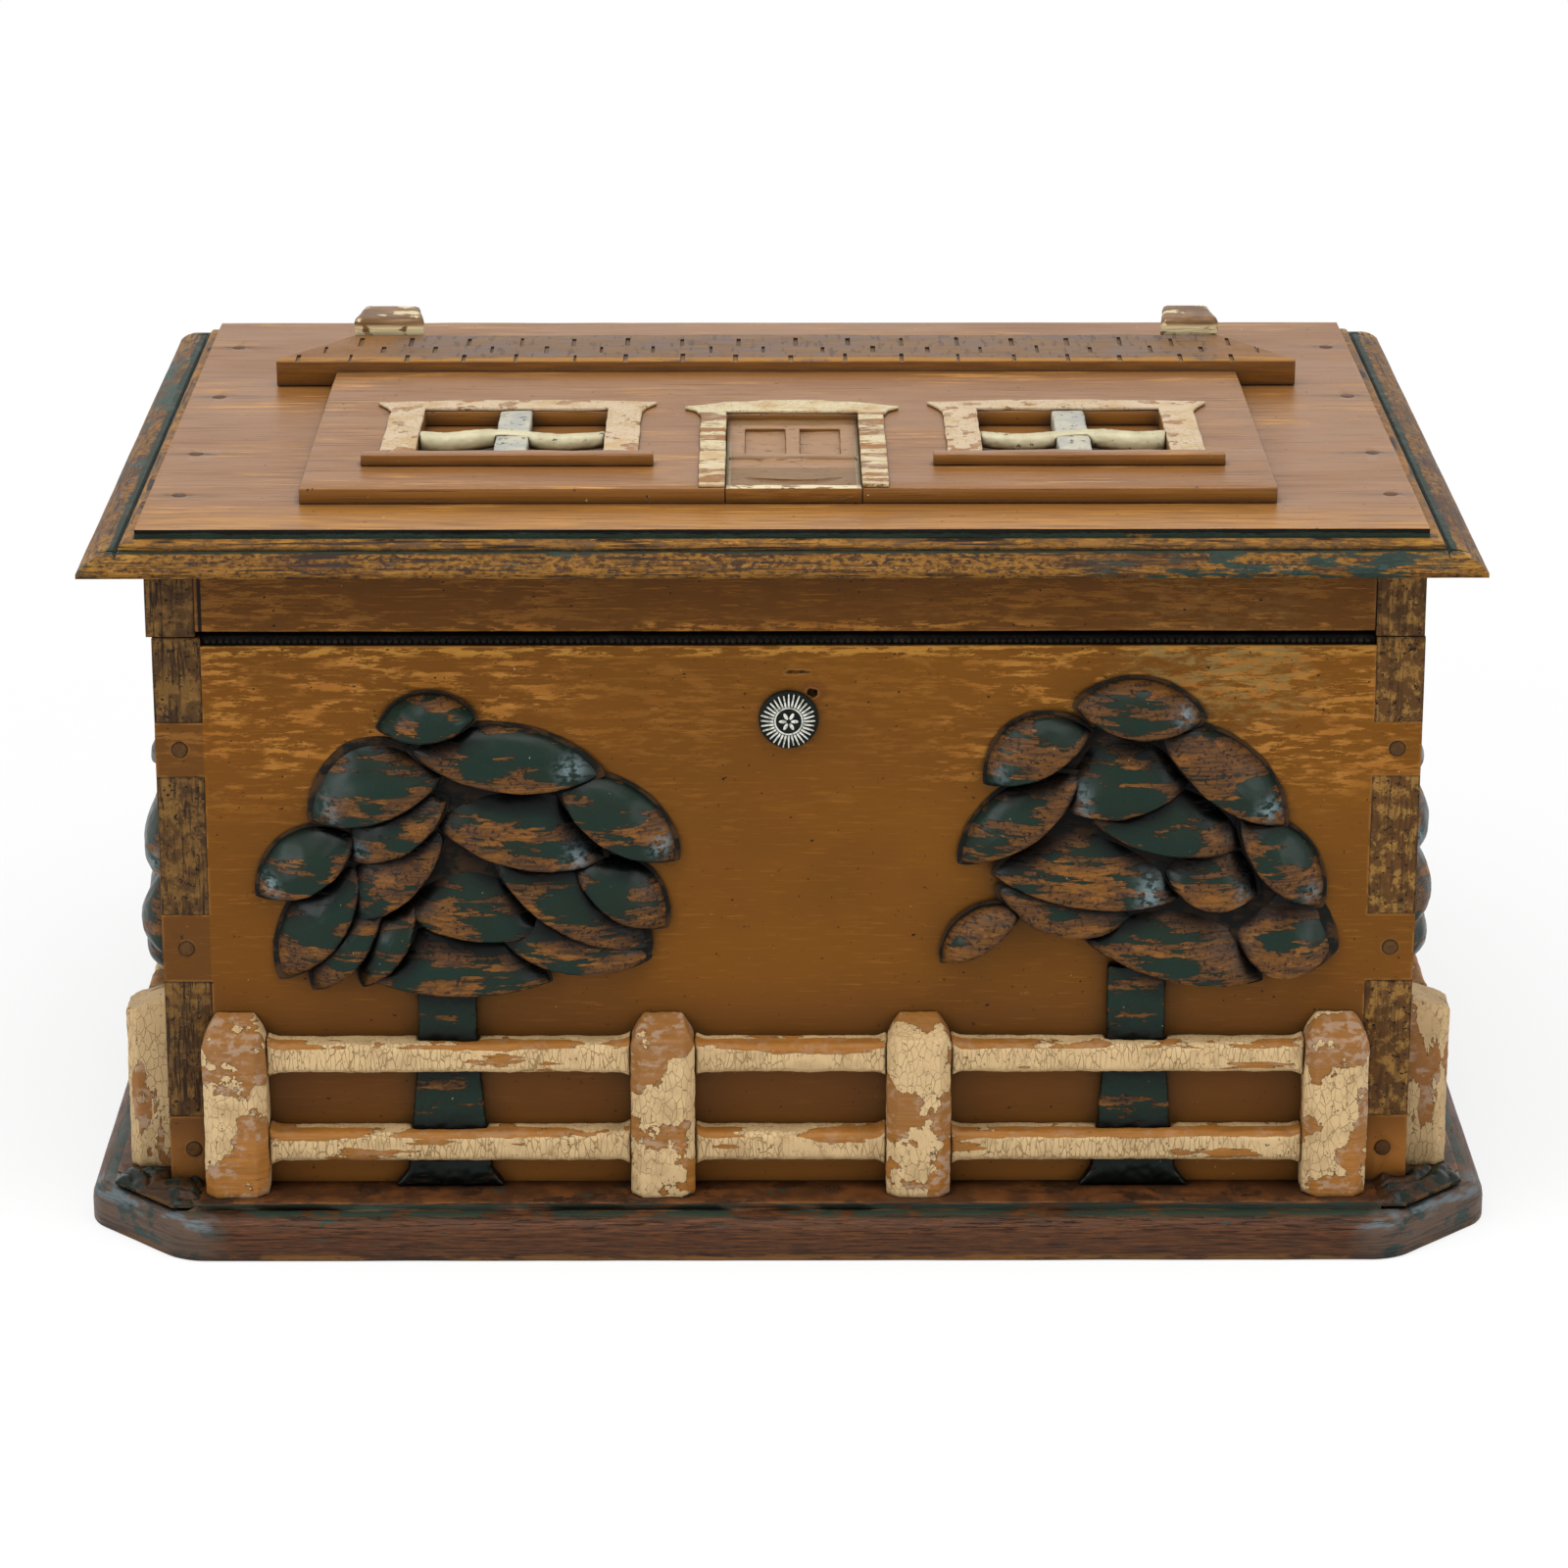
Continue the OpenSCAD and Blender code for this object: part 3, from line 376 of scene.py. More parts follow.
class Paint:
    """The nodes of a new material or world, with the patterns that paint is laid on by."""

    def __init__(self, block):
        block.use_nodes = True
        self.block = block
        self.tree = block.node_tree
        self.tree.nodes.clear()

    def add(self, kind, inputs=(), **settings):
        """Adds a node with its settings and links, and gives its first output.

        Inputs go by name or by number, and a colour may be a hex value.
        """
        node = self.tree.nodes.new("ShaderNode" + kind)
        for name, value in settings.items():
            setattr(node, name, value)
        for key, value in inputs.items() if isinstance(inputs, dict) else enumerate(inputs):
            shown = [s for s in node.inputs if s.enabled]
            socket = shown[key] if isinstance(key, int) else next(s for s in shown if s.name == key)
            if isinstance(value, Mask):
                self.tree.links.new(value.socket, socket)
            elif socket.type == "RGBA":
                socket.default_value = (*(linear(value) if isinstance(value, str) else value), 1.0)
            else:
                socket.default_value = value
        return Mask(self, next((s for s in node.outputs if s.enabled), None))

    def spread(self, size, shift):
        """Places counted in a size in mm, one for all axes or one each for x, y and z."""
        along = size if isinstance(size, tuple) else (size,) * 3
        return self.add("Mapping", {
            "Vector": self.add("TexCoord").part("Object"), "Location": (shift,) * 3,
            "Scale": [1 / (MM * s) for s in along]})

    def blotches(self, size, level=0.5, edge=0.02, detail=6, rough=0.6, shift=0, warp=0):
        """Ragged patches of a size in mm: 1 where a cloud pattern is over the level."""
        cloud = self.add("TexNoise", {
            "Vector": self.spread(size, shift), "Scale": 1, "Detail": detail, "Roughness": rough,
            "Distortion": warp})
        return self.add("MapRange", [cloud, level - edge, level + edge],
                        interpolation_type="SMOOTHSTEP")

    def cracks(self, size, width):
        """Fine cracks round cells of a size in mm: 1 on a crack, 0 beside it."""
        spread = self.spread(size, 0)
        stray = self.add("TexNoise", {"Vector": spread, "Scale": 1.7, "Detail": 3}).part("Color")
        moved = self.add("VectorMath", [stray, (0.35,) * 3, spread], operation="MULTIPLY_ADD")
        cells = self.add("TexVoronoi", {"Vector": moved, "Scale": 1},
                         feature="DISTANCE_TO_EDGE")
        return self.add("MapRange", [cells, width, 0], interpolation_type="SMOOTHSTEP")

    def band(self, axis, low, high, soft):
        """1 between two places along an axis, in mm, with soft ends."""
        place = self.add("SeparateXYZ", [self.add("TexCoord").part("Object")]).part(axis)
        rise, fall = (
            self.add("MapRange", [place, (end - reach) * MM, (end + reach) * MM],
                     interpolation_type="SMOOTHSTEP")
            for end, reach in ((low, soft), (high, -soft)))
        return rise * fall

    def by_slope(self, start, full):
        """From 0 to 1 as the upward part of a face's normal goes from start to full."""
        upward = self.add("SeparateXYZ", [self.add("TexCoord").part("Normal")]).part("Z")
        return self.add("MapRange", [upward, start, full])

    def hollows(self, reach, dark=0.75, light=0.35):
        """1 in corners and gaps within a reach in mm, where grime gathers and shade falls: a mask for grime
        and painted shade.
        """
        shade = self.add("AmbientOcclusion", {"Distance": reach * MM}, samples=4).part("AO")
        return self.add("MapRange", [shade, dark, light])

    def worn_edges(self, reach, start=0.99, full=0.93):
        """1 on edges and corners within a reach in mm, where hands rub the paint off."""
        rounded = self.add("Bevel", {"Radius": reach * MM}, samples=4)
        facing = self.add("NewGeometry").part("Normal")
        bend = self.add("VectorMath", [rounded, facing], operation="DOT_PRODUCT").part("Value")
        return self.add("MapRange", [bend, start, full])

    def coats(self, ground, *layers, kind="RGBA"):
        """Lays colours over a ground in turn, each where its mask is 1."""
        for mask, value in layers:
            ground = self.add("Mix", {"Factor": mask, "A": ground, "B": value}, data_type=kind)
        return ground

    def levels(self, ground, *layers):
        """Like coats, for numbers such as a roughness or a height."""
        return self.coats(ground, *layers, kind="FLOAT")

    def done(self, colour, rough, height, depth, gloss=0.5, metal=0.0):
        """Ends a material; the height pattern gives a relief of a depth in mm."""
        bump = self.add("Bump", {"Height": height, "Distance": depth * MM, "Strength": 1})
        shader = self.add("BsdfPrincipled", {
            "Base Color": colour, "Roughness": rough, "Metallic": metal, "Specular IOR Level": gloss,
            "Normal": bump})
        self.add("OutputMaterial", {"Surface": shader})
        return self.block


def new_paint(name):
    return Paint(bpy.data.materials.new(name))


def by_stud(aside, above):
    """A place on the front wall's face, so far in mm to the right of the stud's middle and above it."""
    low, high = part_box("front_stud")
    return Vector(((low.x + high.x) / 2 + aside * MM, FRONT_Y * MM, (low.z + high.z) / 2 + above * MM))


def ochre_oil_paint():
    """Old ochre oil paint on pine: satin, rubbed through along the grain, with grime and painted shade in its
    hollows.
    """
    p = new_paint("ochre_oil_paint")
    tint = colours()
    clouds = p.blotches((45, 45, 30), edge=0.2, detail=3)
    fibre = p.blotches((40, 40, 0.6), edge=0.25, detail=5)
    top = p.band("Z", 112, 190, 10)
    # Over the lid rail the paint is darker: painted shade under the lid's overhang
    lid_rail = p.band("Z", SEAM + 1.8, 190, 0.5)
    # The paint is rubbed most near the top and the ends, and along the lid rail's lower edge
    ends = p.levels(top, (p.band("X", -52, 40, 14), top * 0.25)) * p.levels(1, (lid_rail, 0.3))
    ends = ends | p.band("Z", 151, 155, 1.2) * 0.8
    clusters = (ends * p.blotches((40, 40, 16), level=0.44, edge=0.05, detail=3, shift=7)
                * p.blotches((14, 14, 5), level=0.465, edge=0.05, detail=4, shift=33))
    ragged = p.blotches((9, 9, 1.5), level=0.515, detail=10, rough=0.72)
    few = p.blotches((13, 13, 2), level=0.68, edge=0.015, detail=9, rough=0.72, shift=21)
    streaks = clusters * ragged | few
    fine = p.blotches((9, 9, 0.6), level=0.6, edge=0.04, shift=3)
    specks = p.blotches((1.6, 1.6, 1.2), level=0.7, detail=3, shift=5)
    dust = p.blotches(1.5, level=0.78, edge=0.01, detail=2, shift=31)
    right_top = p.band("X", 82, 122, 9) * p.band("Z", 132, 190, 7)
    scuffs = (right_top * p.levels(1, (lid_rail, 0.2))
              * p.blotches((5, 5, 1.6), level=0.53, edge=0.09, detail=8, rough=0.7, shift=15))
    # Darker behind the fence; its lower part is painted lighter again, painted light that lifts the shadow the
    # lower rail casts there
    behind_fence = p.band("Z", -50, 60, 9) * p.band("Y", -FAR, BACK_Y - 2, 1)
    # Grime and painted shade in the corners and under the carvings
    grime_and_shade = p.hollows(4, dark=0.7, light=0.2)
    top_edge = p.band("Z", 146.5, 150, 0.7) * ragged
    rubbed = p.worn_edges(1.1) * p.blotches((8, 8, 5), level=0.47, edge=0.04)
    bright = p.coats(tint.ochre_worn, (p.blotches((18, 18, 6), edge=0.1, shift=11), "#945e22"))
    pins = p.band("X", LEFT_X - 20, LEFT_INNER_X, 0.3)
    seams = (p.band("X", LEFT_INNER_X - 0.3, LEFT_INNER_X + 0.6, 0.15)
             | p.band("X", RIGHT_INNER_X - 0.6, RIGHT_INNER_X + 0.3, 0.15))
    where = p.add("TexCoord").part("Object")
    to_hole = p.add("VectorMath", [where, by_stud(*HOLE)], operation="DISTANCE").part("Value")
    ragged_way = p.blotches((3, 3, 2), edge=0.5, detail=7, shift=27) * (3 * MM) + to_hole
    rusty = p.add("MapRange", [ragged_way, 5.5 * MM, 2.5 * MM, 0, 0.75])
    # The soft darkening near raised parts, from the wider occlusion mask, is painted shade
    colour = p.coats(
        tint.ochre, (p.band("X", -FAR, -20, 60) * 0.5, "#6b3f0d"), (clouds * 0.8, "#673e0c"),
        (lid_rail * 0.75, "#53310b"), (fibre * fine, "#825317"), (streaks, bright),
        (top_edge, "#a8762f"), (scuffs, "#83693a"), (behind_fence * 0.62, "#5c3613"),
        (behind_fence * p.band("Z", -50, 25, 7) * 0.8, "#a0662b"), (pins * 0.45, "#4a3019"),
        (rusty, "#5c2f16"), (rubbed, "#8d5f2c"), (specks, "#25160a"), (dust, "#a08a66"),
        (seams * lid_rail, "#160c06"), (p.hollows(9, dark=0.8, light=0.5) * 0.45, "#4a3512"),
        (grime_and_shade, "#3b2510"))
    height = p.levels(0.6, (streaks, 0.35), (specks, 0.1), (fibre, 0.72), (scuffs, 0.7), (grime_and_shade, 0.4))
    rough = p.levels(0.45, (streaks, 0.62), (grime_and_shade, 0.8), (clouds, 0.38))
    return p.done(colour, rough, height, depth=0.15, gloss=0.11)


def end_grain():
    """Sawn end grain of the corner fingers: dark and scratched on the left, browner on the right."""
    p = new_paint("end_grain_pine")
    left = p.band("X", -FAR, 0, 20)
    clouds = p.blotches(9, edge=0.15, detail=5)
    scratches = (p.blotches((0.7, 0.7, 9), level=0.54, edge=0.05, warp=0.3)
                 * p.blotches((6, 6, 14), level=0.45, edge=0.1, shift=5))
    pores = p.blotches((1.1, 1.1, 0.9), level=0.64, edge=0.03, detail=3)
    patches = p.blotches((6, 6, 4), level=0.55, edge=0.04, shift=9)
    gold = (p.levels(1, (left, 0.35))
            * p.blotches((2.6, 2.6, 3.2), level=0.53, edge=0.05, detail=8, rough=0.7, shift=63))
    outline = (p.worn_edges(0.9, start=0.995, full=0.95)
               * p.blotches(3, level=0.42, edge=0.08, shift=29))
    # Painted shade in the corners beside the fingers
    colour = p.coats(
        "#513515", (left, "#3f2a16"), (clouds, "#5d3c19"), (left * clouds, "#4e3518"),
        (patches * left * 0.45, "#84602b"), (gold, "#8b6630"),
        (scratches * p.levels(0.55, (left, 1)), "#2a1a0c"), (pores, "#1c120a"),
        (outline * 0.85, "#180e07"), (p.hollows(2.5), "#0e0804"))
    height = p.levels(0.6, (scratches, 0.35), (pores, 0.05))
    return p.done(colour, p.levels(0.55, (patches, 0.45)), height, depth=0.25, gloss=0.16)


def upright_shade_paint(p, fibre):
    """Painted shade: the darker, warmer brown of the lid's upright faces, which get less of the light than the
    tops.
    """
    return p.coats("#70430d", (fibre, "#85561b"))


def thin_lid_paint():
    """Thin brown paint rubbed into the lid: fine grain shows, with a waxed sheen."""
    p = new_paint("waxed_brown_paint")
    tint = colours()
    clouds = p.blotches((70, 24, 24), edge=0.15, detail=4)
    fibre = p.blotches((34, 0.7, 0.7), edge=0.2)
    lines = p.blotches((44, 0.5, 0.5), level=0.62, edge=0.03, detail=5, shift=4)
    worn = (p.blotches((26, 1.2, 1.2), level=0.56, edge=0.04, detail=9, rough=0.7)
            * p.blotches((50, 20, 20), level=0.55, edge=0.08, shift=2))
    dents = p.blotches(2.2, level=0.73, detail=2, shift=6)
    dust = p.blotches(1.4, level=0.77, edge=0.01, detail=2, shift=41)
    # Grime and painted shade in the corners round the cottage and fixings
    grime_and_shade = p.hollows(4, dark=0.7)
    split, stain = nail_marks(p)
    front_edge = p.band("Y", -FAR, -92, 12)
    front_grain = p.blotches((22, 0.7, 0.7), edge=0.06, detail=8, rough=0.7, shift=9)
    # Upright faces take darker paint as painted shade; the halo near the cottage and the hollows are painted
    # shade too
    colour = p.coats(
        tint.lid, (clouds, "#72491f"), (fibre, "#87592a"), (worn, tint.lid_worn),
        (front_edge * 0.6, "#7b5012"), (front_edge * front_grain, "#a8711f"),
        (p.by_slope(0.85, 0.4), upright_shade_paint(p, fibre)), (lines, "#4f3116"), (stain, "#6b4518"),
        (split, "#1f120a"), (dents, "#2e1b0c"), (dust, "#d8c39a"),
        (p.hollows(9, dark=0.85, light=0.5) * 0.45, "#56370f"), (grime_and_shade, "#3a220a"))
    height = p.levels(0.6, (fibre, 0.72), (lines, 0.25), (dents, 0.1), (split, 0))
    rough = p.levels(0.34, (worn, 0.5), (clouds, 0.42), (grime_and_shade, 0.7))
    return p.done(colour, rough, height, depth=0.12, gloss=0.35)


def nail_marks(p):
    """Masks for the dark splits and the wider stains round the lid's nails, long with the grain."""
    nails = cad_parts["lid_nails"]
    where = p.add("TexCoord").part("Object")
    nearest = None
    for x_run in runs(nails, 0):
        for y_run in runs(nails, 1):
            centre = (sum(x_run) / 2, sum(y_run) / 2, LID_TOP * MM)
            apart = p.add("VectorMath", [where, centre], operation="SUBTRACT")
            apart = p.add("VectorMath", [apart, (0.16, 1, 0)], operation="MULTIPLY")
            away = p.add("VectorMath", [apart], operation="LENGTH").part("Value")
            nearest = away if nearest is None else p.add("Math", [nearest, away], operation="MINIMUM")
    loose = p.add("TexNoise", {"Vector": where, "Scale": 0.35 / MM, "Detail": 4})
    loose = loose * (1.8 * MM) + nearest
    return [p.add("MapRange", [loose, start * MM, full * MM], interpolation_type="SMOOTHSTEP")
            for start, full in ((1.5, 1.2), (3.9, 1.6))]


def weathered_roof_paint():
    """The lid's paint on the cottage roof, greyed by dust, with darker shingle tips."""
    p = new_paint("weathered_roof_paint")
    clouds = p.blotches((30, 14, 14), edge=0.15, detail=5)
    fibre = p.blotches((14, 0.9, 0.9), edge=0.15)
    dust = p.blotches((12, 8, 8), level=0.52, edge=0.08, detail=7, shift=3)
    eave = p.band("Y", 30, 37.5, 0.8) * p.blotches((20, 4, 4), level=0.43, edge=0.06, shift=8)
    ends = p.band("X", -FAR, -104, 5) | p.band("X", 112, FAR, 5)
    ticks = p.blotches((1.6, 8, 8), level=0.6, edge=0.05, detail=3, shift=52)
    # The roof's upright faces take darker paint as painted shade, and its corners get painted shade as well
    colour = p.coats(
        "#5c4028", (clouds, "#6a4d2f"), (fibre, "#765735"), (dust * 0.55, "#706462"),
        (ticks * 0.6, "#43342a"), (ends * 0.7, "#805628"), (eave, "#94682e"),
        (p.by_slope(0.7, 0.3), p.coats("#57330b", (fibre, "#6c420f"))),
        (p.hollows(2, dark=0.85, light=0.4), "#33281f"))
    height = p.levels(0.6, (fibre, 0.7), (clouds, 0.5), (ticks, 0.3))
    return p.done(colour, p.levels(0.5, (dust, 0.65)), height, depth=0.2, gloss=0.22)


def chimney_paint():
    """Brown paint of the chimneys, with cream left at the foot and in stray patches."""
    p = new_paint("patched_chimney_paint")
    clouds = p.blotches((9, 9, 6), edge=0.15, detail=5)
    fibre = p.blotches((9, 9, 0.7), edge=0.12)
    foot = p.band("Z", LID_TOP, LID_TOP + 9.4, 0.6) * p.blotches((9, 9, 6), level=0.42, edge=0.03)
    stray = p.blotches((6, 6, 4), level=0.6, edge=0.03, detail=7, shift=6)
    # Painted shade where the chimney meets the lid and the roof
    colour = p.coats("#6f4f2b", (clouds, "#81603a"), (fibre, "#5b3d1f"), (foot | stray, "#c9b68c"),
                     (p.hollows(3), "#20150b"))
    height = p.levels(0.4, (foot, 0.7), (fibre, 0.3))
    return p.done(colour, p.levels(0.45, (foot, 0.55)), height, depth=0.25, gloss=0.3)


def door_paint():
    """Olive brown paint of the door leaf, with pinkish primer in its sunk panes."""
    p = new_paint("olive_door_paint")
    low, high = corners("door_leaf")
    upright = p.by_slope(0.7, 0.4)
    pane_floor = p.band("Z", 0, LID_TOP + 3, 0.15) * p.band("Y", -60, -18, 1)
    threshold = (p.band("Y", -90, FRONT_Y + 24.2, 0.3) * (1 - upright)
                 * p.blotches((6, 3, 3), level=0.42, edge=0.03))
    clouds = p.blotches((12, 8, 8), edge=0.15, detail=5)
    fibre = p.blotches((9, 0.6, 0.6), edge=0.15)
    nicks = p.blotches((2.5, 1.2, 1.2), level=0.64, edge=0.03, detail=5)
    outline = ((1 - p.band("X", low.x + 1.3, high.x - 1.3, 0.2)) * p.band("Y", low.y, low.y + 52, 6)
               * (1 - upright))
    # Painted shade in the recess round the door leaf, darkest under its head
    # Upright faces take darker paint as painted shade
    colour = p.coats(
        "#755630", (clouds, "#86653c"), (fibre, "#6a4b28"),
        (pane_floor, p.coats("#9a7456", (fibre, "#8c6a44"))), (threshold, "#cdbd98"),
        (outline, "#9c8c6a"), (nicks, "#4a3317"), (upright, upright_shade_paint(p, fibre)),
        (p.hollows(5, dark=0.8), "#33230c"))
    height = p.levels(0.6, (fibre, 0.72), (nicks, 0.2))
    return p.done(colour, p.levels(0.42, (clouds, 0.5)), height, depth=0.15, gloss=0.3)


def moulding_paint():
    """The lid's moulded edge: green in its grooves, orange on its bead, mottled below."""
    p = new_paint("worn_moulding_paint")
    middle, half = (LID_LOW + LID_HIGH) / 2 * MM, (LID_HIGH - LID_LOW) / 2 * MM
    where = p.add("TexCoord").part("Object")
    apart = p.add("VectorMath", [where, middle], operation="SUBTRACT")
    apart = p.add("VectorMath", [apart], operation="ABSOLUTE")
    inside = p.add("VectorMath", [half, apart], operation="SUBTRACT")
    from_side = p.add("SeparateXYZ", [inside])
    from_end = from_side.part("Y")
    inset = p.add("Math", [from_side, from_end], operation="MINIMUM")

    def from_inset(value, start, full):
        """From 0 to 1 as a distance goes from start to full, in mm."""
        return p.add("MapRange", [value, start * MM, full * MM])

    stray = p.blotches((12, 12, 1.5), edge=0.5, detail=8, rough=0.7, shift=14)
    corner = from_inset(from_side | from_end, 26, 8)
    riser = from_inset(inset, 12, 12.3)
    groove = from_inset(stray * (2.4 * MM) + inset, 7.4, 7.7) * from_inset(inset, 9.1, 8.8)
    bead = from_inset(inset, 8.8, 9.2)
    toe = from_inset(inset, 1.9, 0.5)
    streaks = p.blotches((16, 16, 0.6), edge=0.05, detail=9, rough=0.75)
    mottle = p.blotches((5, 5, 1.6), level=0.52, edge=0.04, detail=9, rough=0.8, shift=5)
    grainy = (p.blotches((1.6, 1.6, 0.9), edge=0.06, detail=4, shift=81)
              * p.blotches((30, 30, 9), level=0.47, edge=0.06, shift=83))
    gold = p.blotches((9, 9, 0.5), level=0.57, edge=0.03, detail=9, rough=0.75, shift=25)
    gold_end = p.blotches((8, 8, 0.7), level=0.53, edge=0.04, detail=9, rough=0.72, shift=45)
    fresh = p.blotches((34, 34, 20), level=0.38, edge=0.03, detail=7, rough=0.65, shift=8)
    fibre = p.blotches((20, 20, 0.4), level=0.58, edge=0.04, shift=1)
    left_over = p.blotches((34, 34, 20), level=0.6, edge=0.04, detail=7, shift=58) * mottle
    right_green = (p.band("X", 74, 152, 9)
                   * p.blotches((11, 11, 1.5), level=0.52, edge=0.03, detail=9, shift=66))
    # Green paint with painted sheen on the moulding's left side
    green_and_sheen = (p.band("X", -FAR, LID_LOW.x + 7, 1) * p.band("Y", 5, 112, 10)
                    * p.blotches((9, 14, 9), level=0.54, edge=0.04, shift=71))
    # A near-black line at the top of the riser: painted shadow under the lid top's edge
    shadow_under_lid_edge = (p.blotches((9, 9, 6), edge=0.5, detail=8, rough=0.7, shift=61) * (1.6 * MM)
                 + p.add("SeparateXYZ", [where]).part("Z"))
    shadow_under_lid_edge = from_inset(shadow_under_lid_edge, LID_TOP - 0.35, LID_TOP - 0.15)
    # Painted shade in the moulding's quirks and under its edges
    colour = p.coats(
        "#452b12", (streaks, "#5f3c15"), (mottle, "#2d1b10"), (gold, "#7b5119"), (grainy, "#80571d"),
        (bead, p.coats("#7d5526", (streaks, "#94672b"), (mottle, "#5c4126"))),
        (corner * gold_end, "#a4772a"), (toe * gold_end, "#835a20"), (fibre, "#271810"),
        (green_and_sheen, "#2b403a"), (riser * fresh, "#1d2c22"), (groove * fresh, "#1a281e"),
        ((right_green | left_over) * (1 - riser) * (1 - bead), "#23322a"),
        (riser * shadow_under_lid_edge, "#0b0805"), (p.hollows(1.6), "#0f0c07"))
    height = p.levels(0.5, (streaks, 0.65), (mottle, 0.3), (fibre, 0.15))
    return p.done(colour, p.levels(0.5, (mottle, 0.42)), height, depth=0.25, gloss=0.13)


def stained_base_wood():
    """Dark stained base board: open grain, green left in the step, rubbed to orange at the foot."""
    p = new_paint("dark_stained_wood")
    tint = colours()
    clouds = p.blotches((30, 30, 6), edge=0.18, detail=5)
    fibre = p.blotches((9, 9, 0.5), level=0.52, edge=0.1, detail=8, rough=0.72)
    black = p.blotches((14, 14, 0.45), level=0.57, edge=0.03, detail=8, rough=0.7, shift=4)
    left_green = (p.band("Z", BASE_TOP - 2.4, BASE_TOP - 0.4, 0.5)
                  * p.blotches((24, 24, 6), level=0.45, edge=0.03, detail=7, shift=3))
    stray_green = p.blotches((9, 9, 1.6), level=0.66, edge=0.015, detail=7, shift=12)
    apart = p.add("VectorMath", [p.add("TexCoord").part("Object")], operation="ABSOLUTE")
    outward = p.add("VectorMath", [apart, (1, 1, 0)], operation="DOT_PRODUCT").part("Value")
    sharp_corner = CAD_HIGH.x + CAD_HIGH.y
    by_corner = p.add("MapRange", [outward, sharp_corner - 37 * MM, sharp_corner - 30 * MM])
    corner_green = by_corner * p.blotches((9, 9, 6), level=0.56, edge=0.04, detail=7, shift=74)
    # Painted highlights along the upper nosing at the clipped corners
    glints = (by_corner * p.band("Z", 7.5, 10.6, 0.9)
              * p.blotches((9, 9, 2.5), level=0.52, edge=0.07, detail=7, shift=78))
    foot = p.band("Z", -5, 1.3, 0.8) * p.blotches((12, 12, 2), level=0.47, edge=0.06)
    # Painted shade where the walls and the carved ground meet the board
    colour = p.coats(
        tint.base, (clouds, "#371f11"), (fibre, "#5f3719"), (black * 0.75, "#20130b"),
        (left_green | stray_green, "#25342a"), (by_corner * 0.7, "#57483c"), (corner_green, "#2a3733"),
        (glints, "#5c6467"), (p.worn_edges(1) * fibre, tint.base_worn), (foot, "#8f5f26"),
        (p.hollows(6), "#0d0906"))
    height = p.levels(0.6, (fibre, 0.45), (black, 0.1))
    return p.done(colour, p.levels(0.4, (clouds, 0.5)), height, depth=0.25, gloss=0.2)


def carved_ground_paint():
    """Thick glossy brown and green paint of the carved ground at the base's corners."""
    p = new_paint("ground_enamel")
    patches = p.blotches((7, 7, 5), edge=0.03, detail=7)
    rubbed = (p.worn_edges(1.2, start=0.97, full=0.75)
              * p.blotches((4, 4, 3), level=0.48, edge=0.04, shift=4))
    # Painted shade in the hollows between the ridges
    colour = p.coats("#141c15", (patches, "#33200f"), (rubbed, "#6b4a24"),
                     (p.hollows(3, dark=0.85), "#040302"))
    return p.done(colour, p.levels(0.25, (patches, 0.4)), patches, depth=0.15, gloss=0.14)


def flaked_cream_paint(name, level, chip, edge_loss=0.0, top_loss=0.0, crack_width=0.045,
                       paint=None, wood="#a2692a", low_wood=None, kept_from=None,
                       crack=(1.9, 1.9, 5.5), film=0.8):
    """Thick cream paint on carved pine: finely cracked, flaked off in plates, each with a painted highlight on
    its lip and a dark line of grime and painted shadow beside it.

    It flakes where a pattern of chips passes the level; edge_loss and top_loss add to the pattern on
    edges and on the ledges that look up, and nothing flakes further back than kept_from.
    """
    p = new_paint(name)
    apart = p.add("VectorMath", [p.add("TexCoord").part("Object")], operation="ABSOLUTE")
    apart = p.add("VectorMath", [apart, (RIGHT_X * MM, BACK_Y * MM, 0)], operation="SUBTRACT")
    from_side = p.add("SeparateXYZ", [apart])
    proud = from_side | from_side.part("Y")
    outer = p.add("MapRange", [proud, 2.6 * MM, 3.4 * MM])
    loose = (p.worn_edges(1.6, start=0.98, full=0.75) * edge_loss
             + p.blotches(chip, edge=0.5, detail=8, rough=0.58)
             + p.by_slope(0.25, 0.5) * outer * top_loss)
    if kept_from is not None:
        loose = p.band("Y", kept_from, 200, 0.6) * -0.6 + loose

    def flake(start, full):
        return p.add("MapRange", [loose, level + start, level + full])

    # A paler lip on the paint's edge is a painted highlight; the dark line on the wood beside it is grime and
    # painted shadow
    bare = flake(-0.003, 0.003)
    rim = flake(-0.014, -0.003)
    outline = bare * flake(0.014, 0.004)
    crackle = p.cracks(crack, crack_width) * p.blotches(16, level=0.44, edge=0.08, shift=6)
    stain = p.blotches(8, level=0.55, edge=0.12, detail=5, shift=2)
    specks = p.blotches(1.2, level=0.67, detail=3, shift=16)
    fibre = p.blotches((14, 14, 0.6), edge=0.15, detail=5)
    residue = (p.blotches((3, 3, 2), level=0.52, edge=0.05, detail=8, shift=8)
               * p.blotches((18, 18, 12), level=0.48, edge=0.06, shift=3))
    if low_wood:
        wood = p.coats(wood, (p.band("Z", 0, BASE_TOP + 16, 6), low_wood))
    below = p.coats(wood, (fibre, "#8a5a22"), (residue * film, "#a48a72"))
    # Painted shade in the corners where posts, rails and wall meet
    colour = p.coats(
        paint or colours().cream, (stain, "#b3966b"), (rim, "#cfb68a"), (crackle, "#8d7046"),
        (specks, "#6f5a38"), (bare, below), (outline, "#5a3a16"), (p.hollows(2.5), "#54401f"))
    height = p.levels(0.75, (crackle, 0.45), (bare, p.levels(0.1, (fibre, 0.2))))
    rough = p.levels(0.5, (bare, 0.55), (crackle, 0.7))
    return p.done(colour, rough, height, depth=0.35, gloss=0.25)


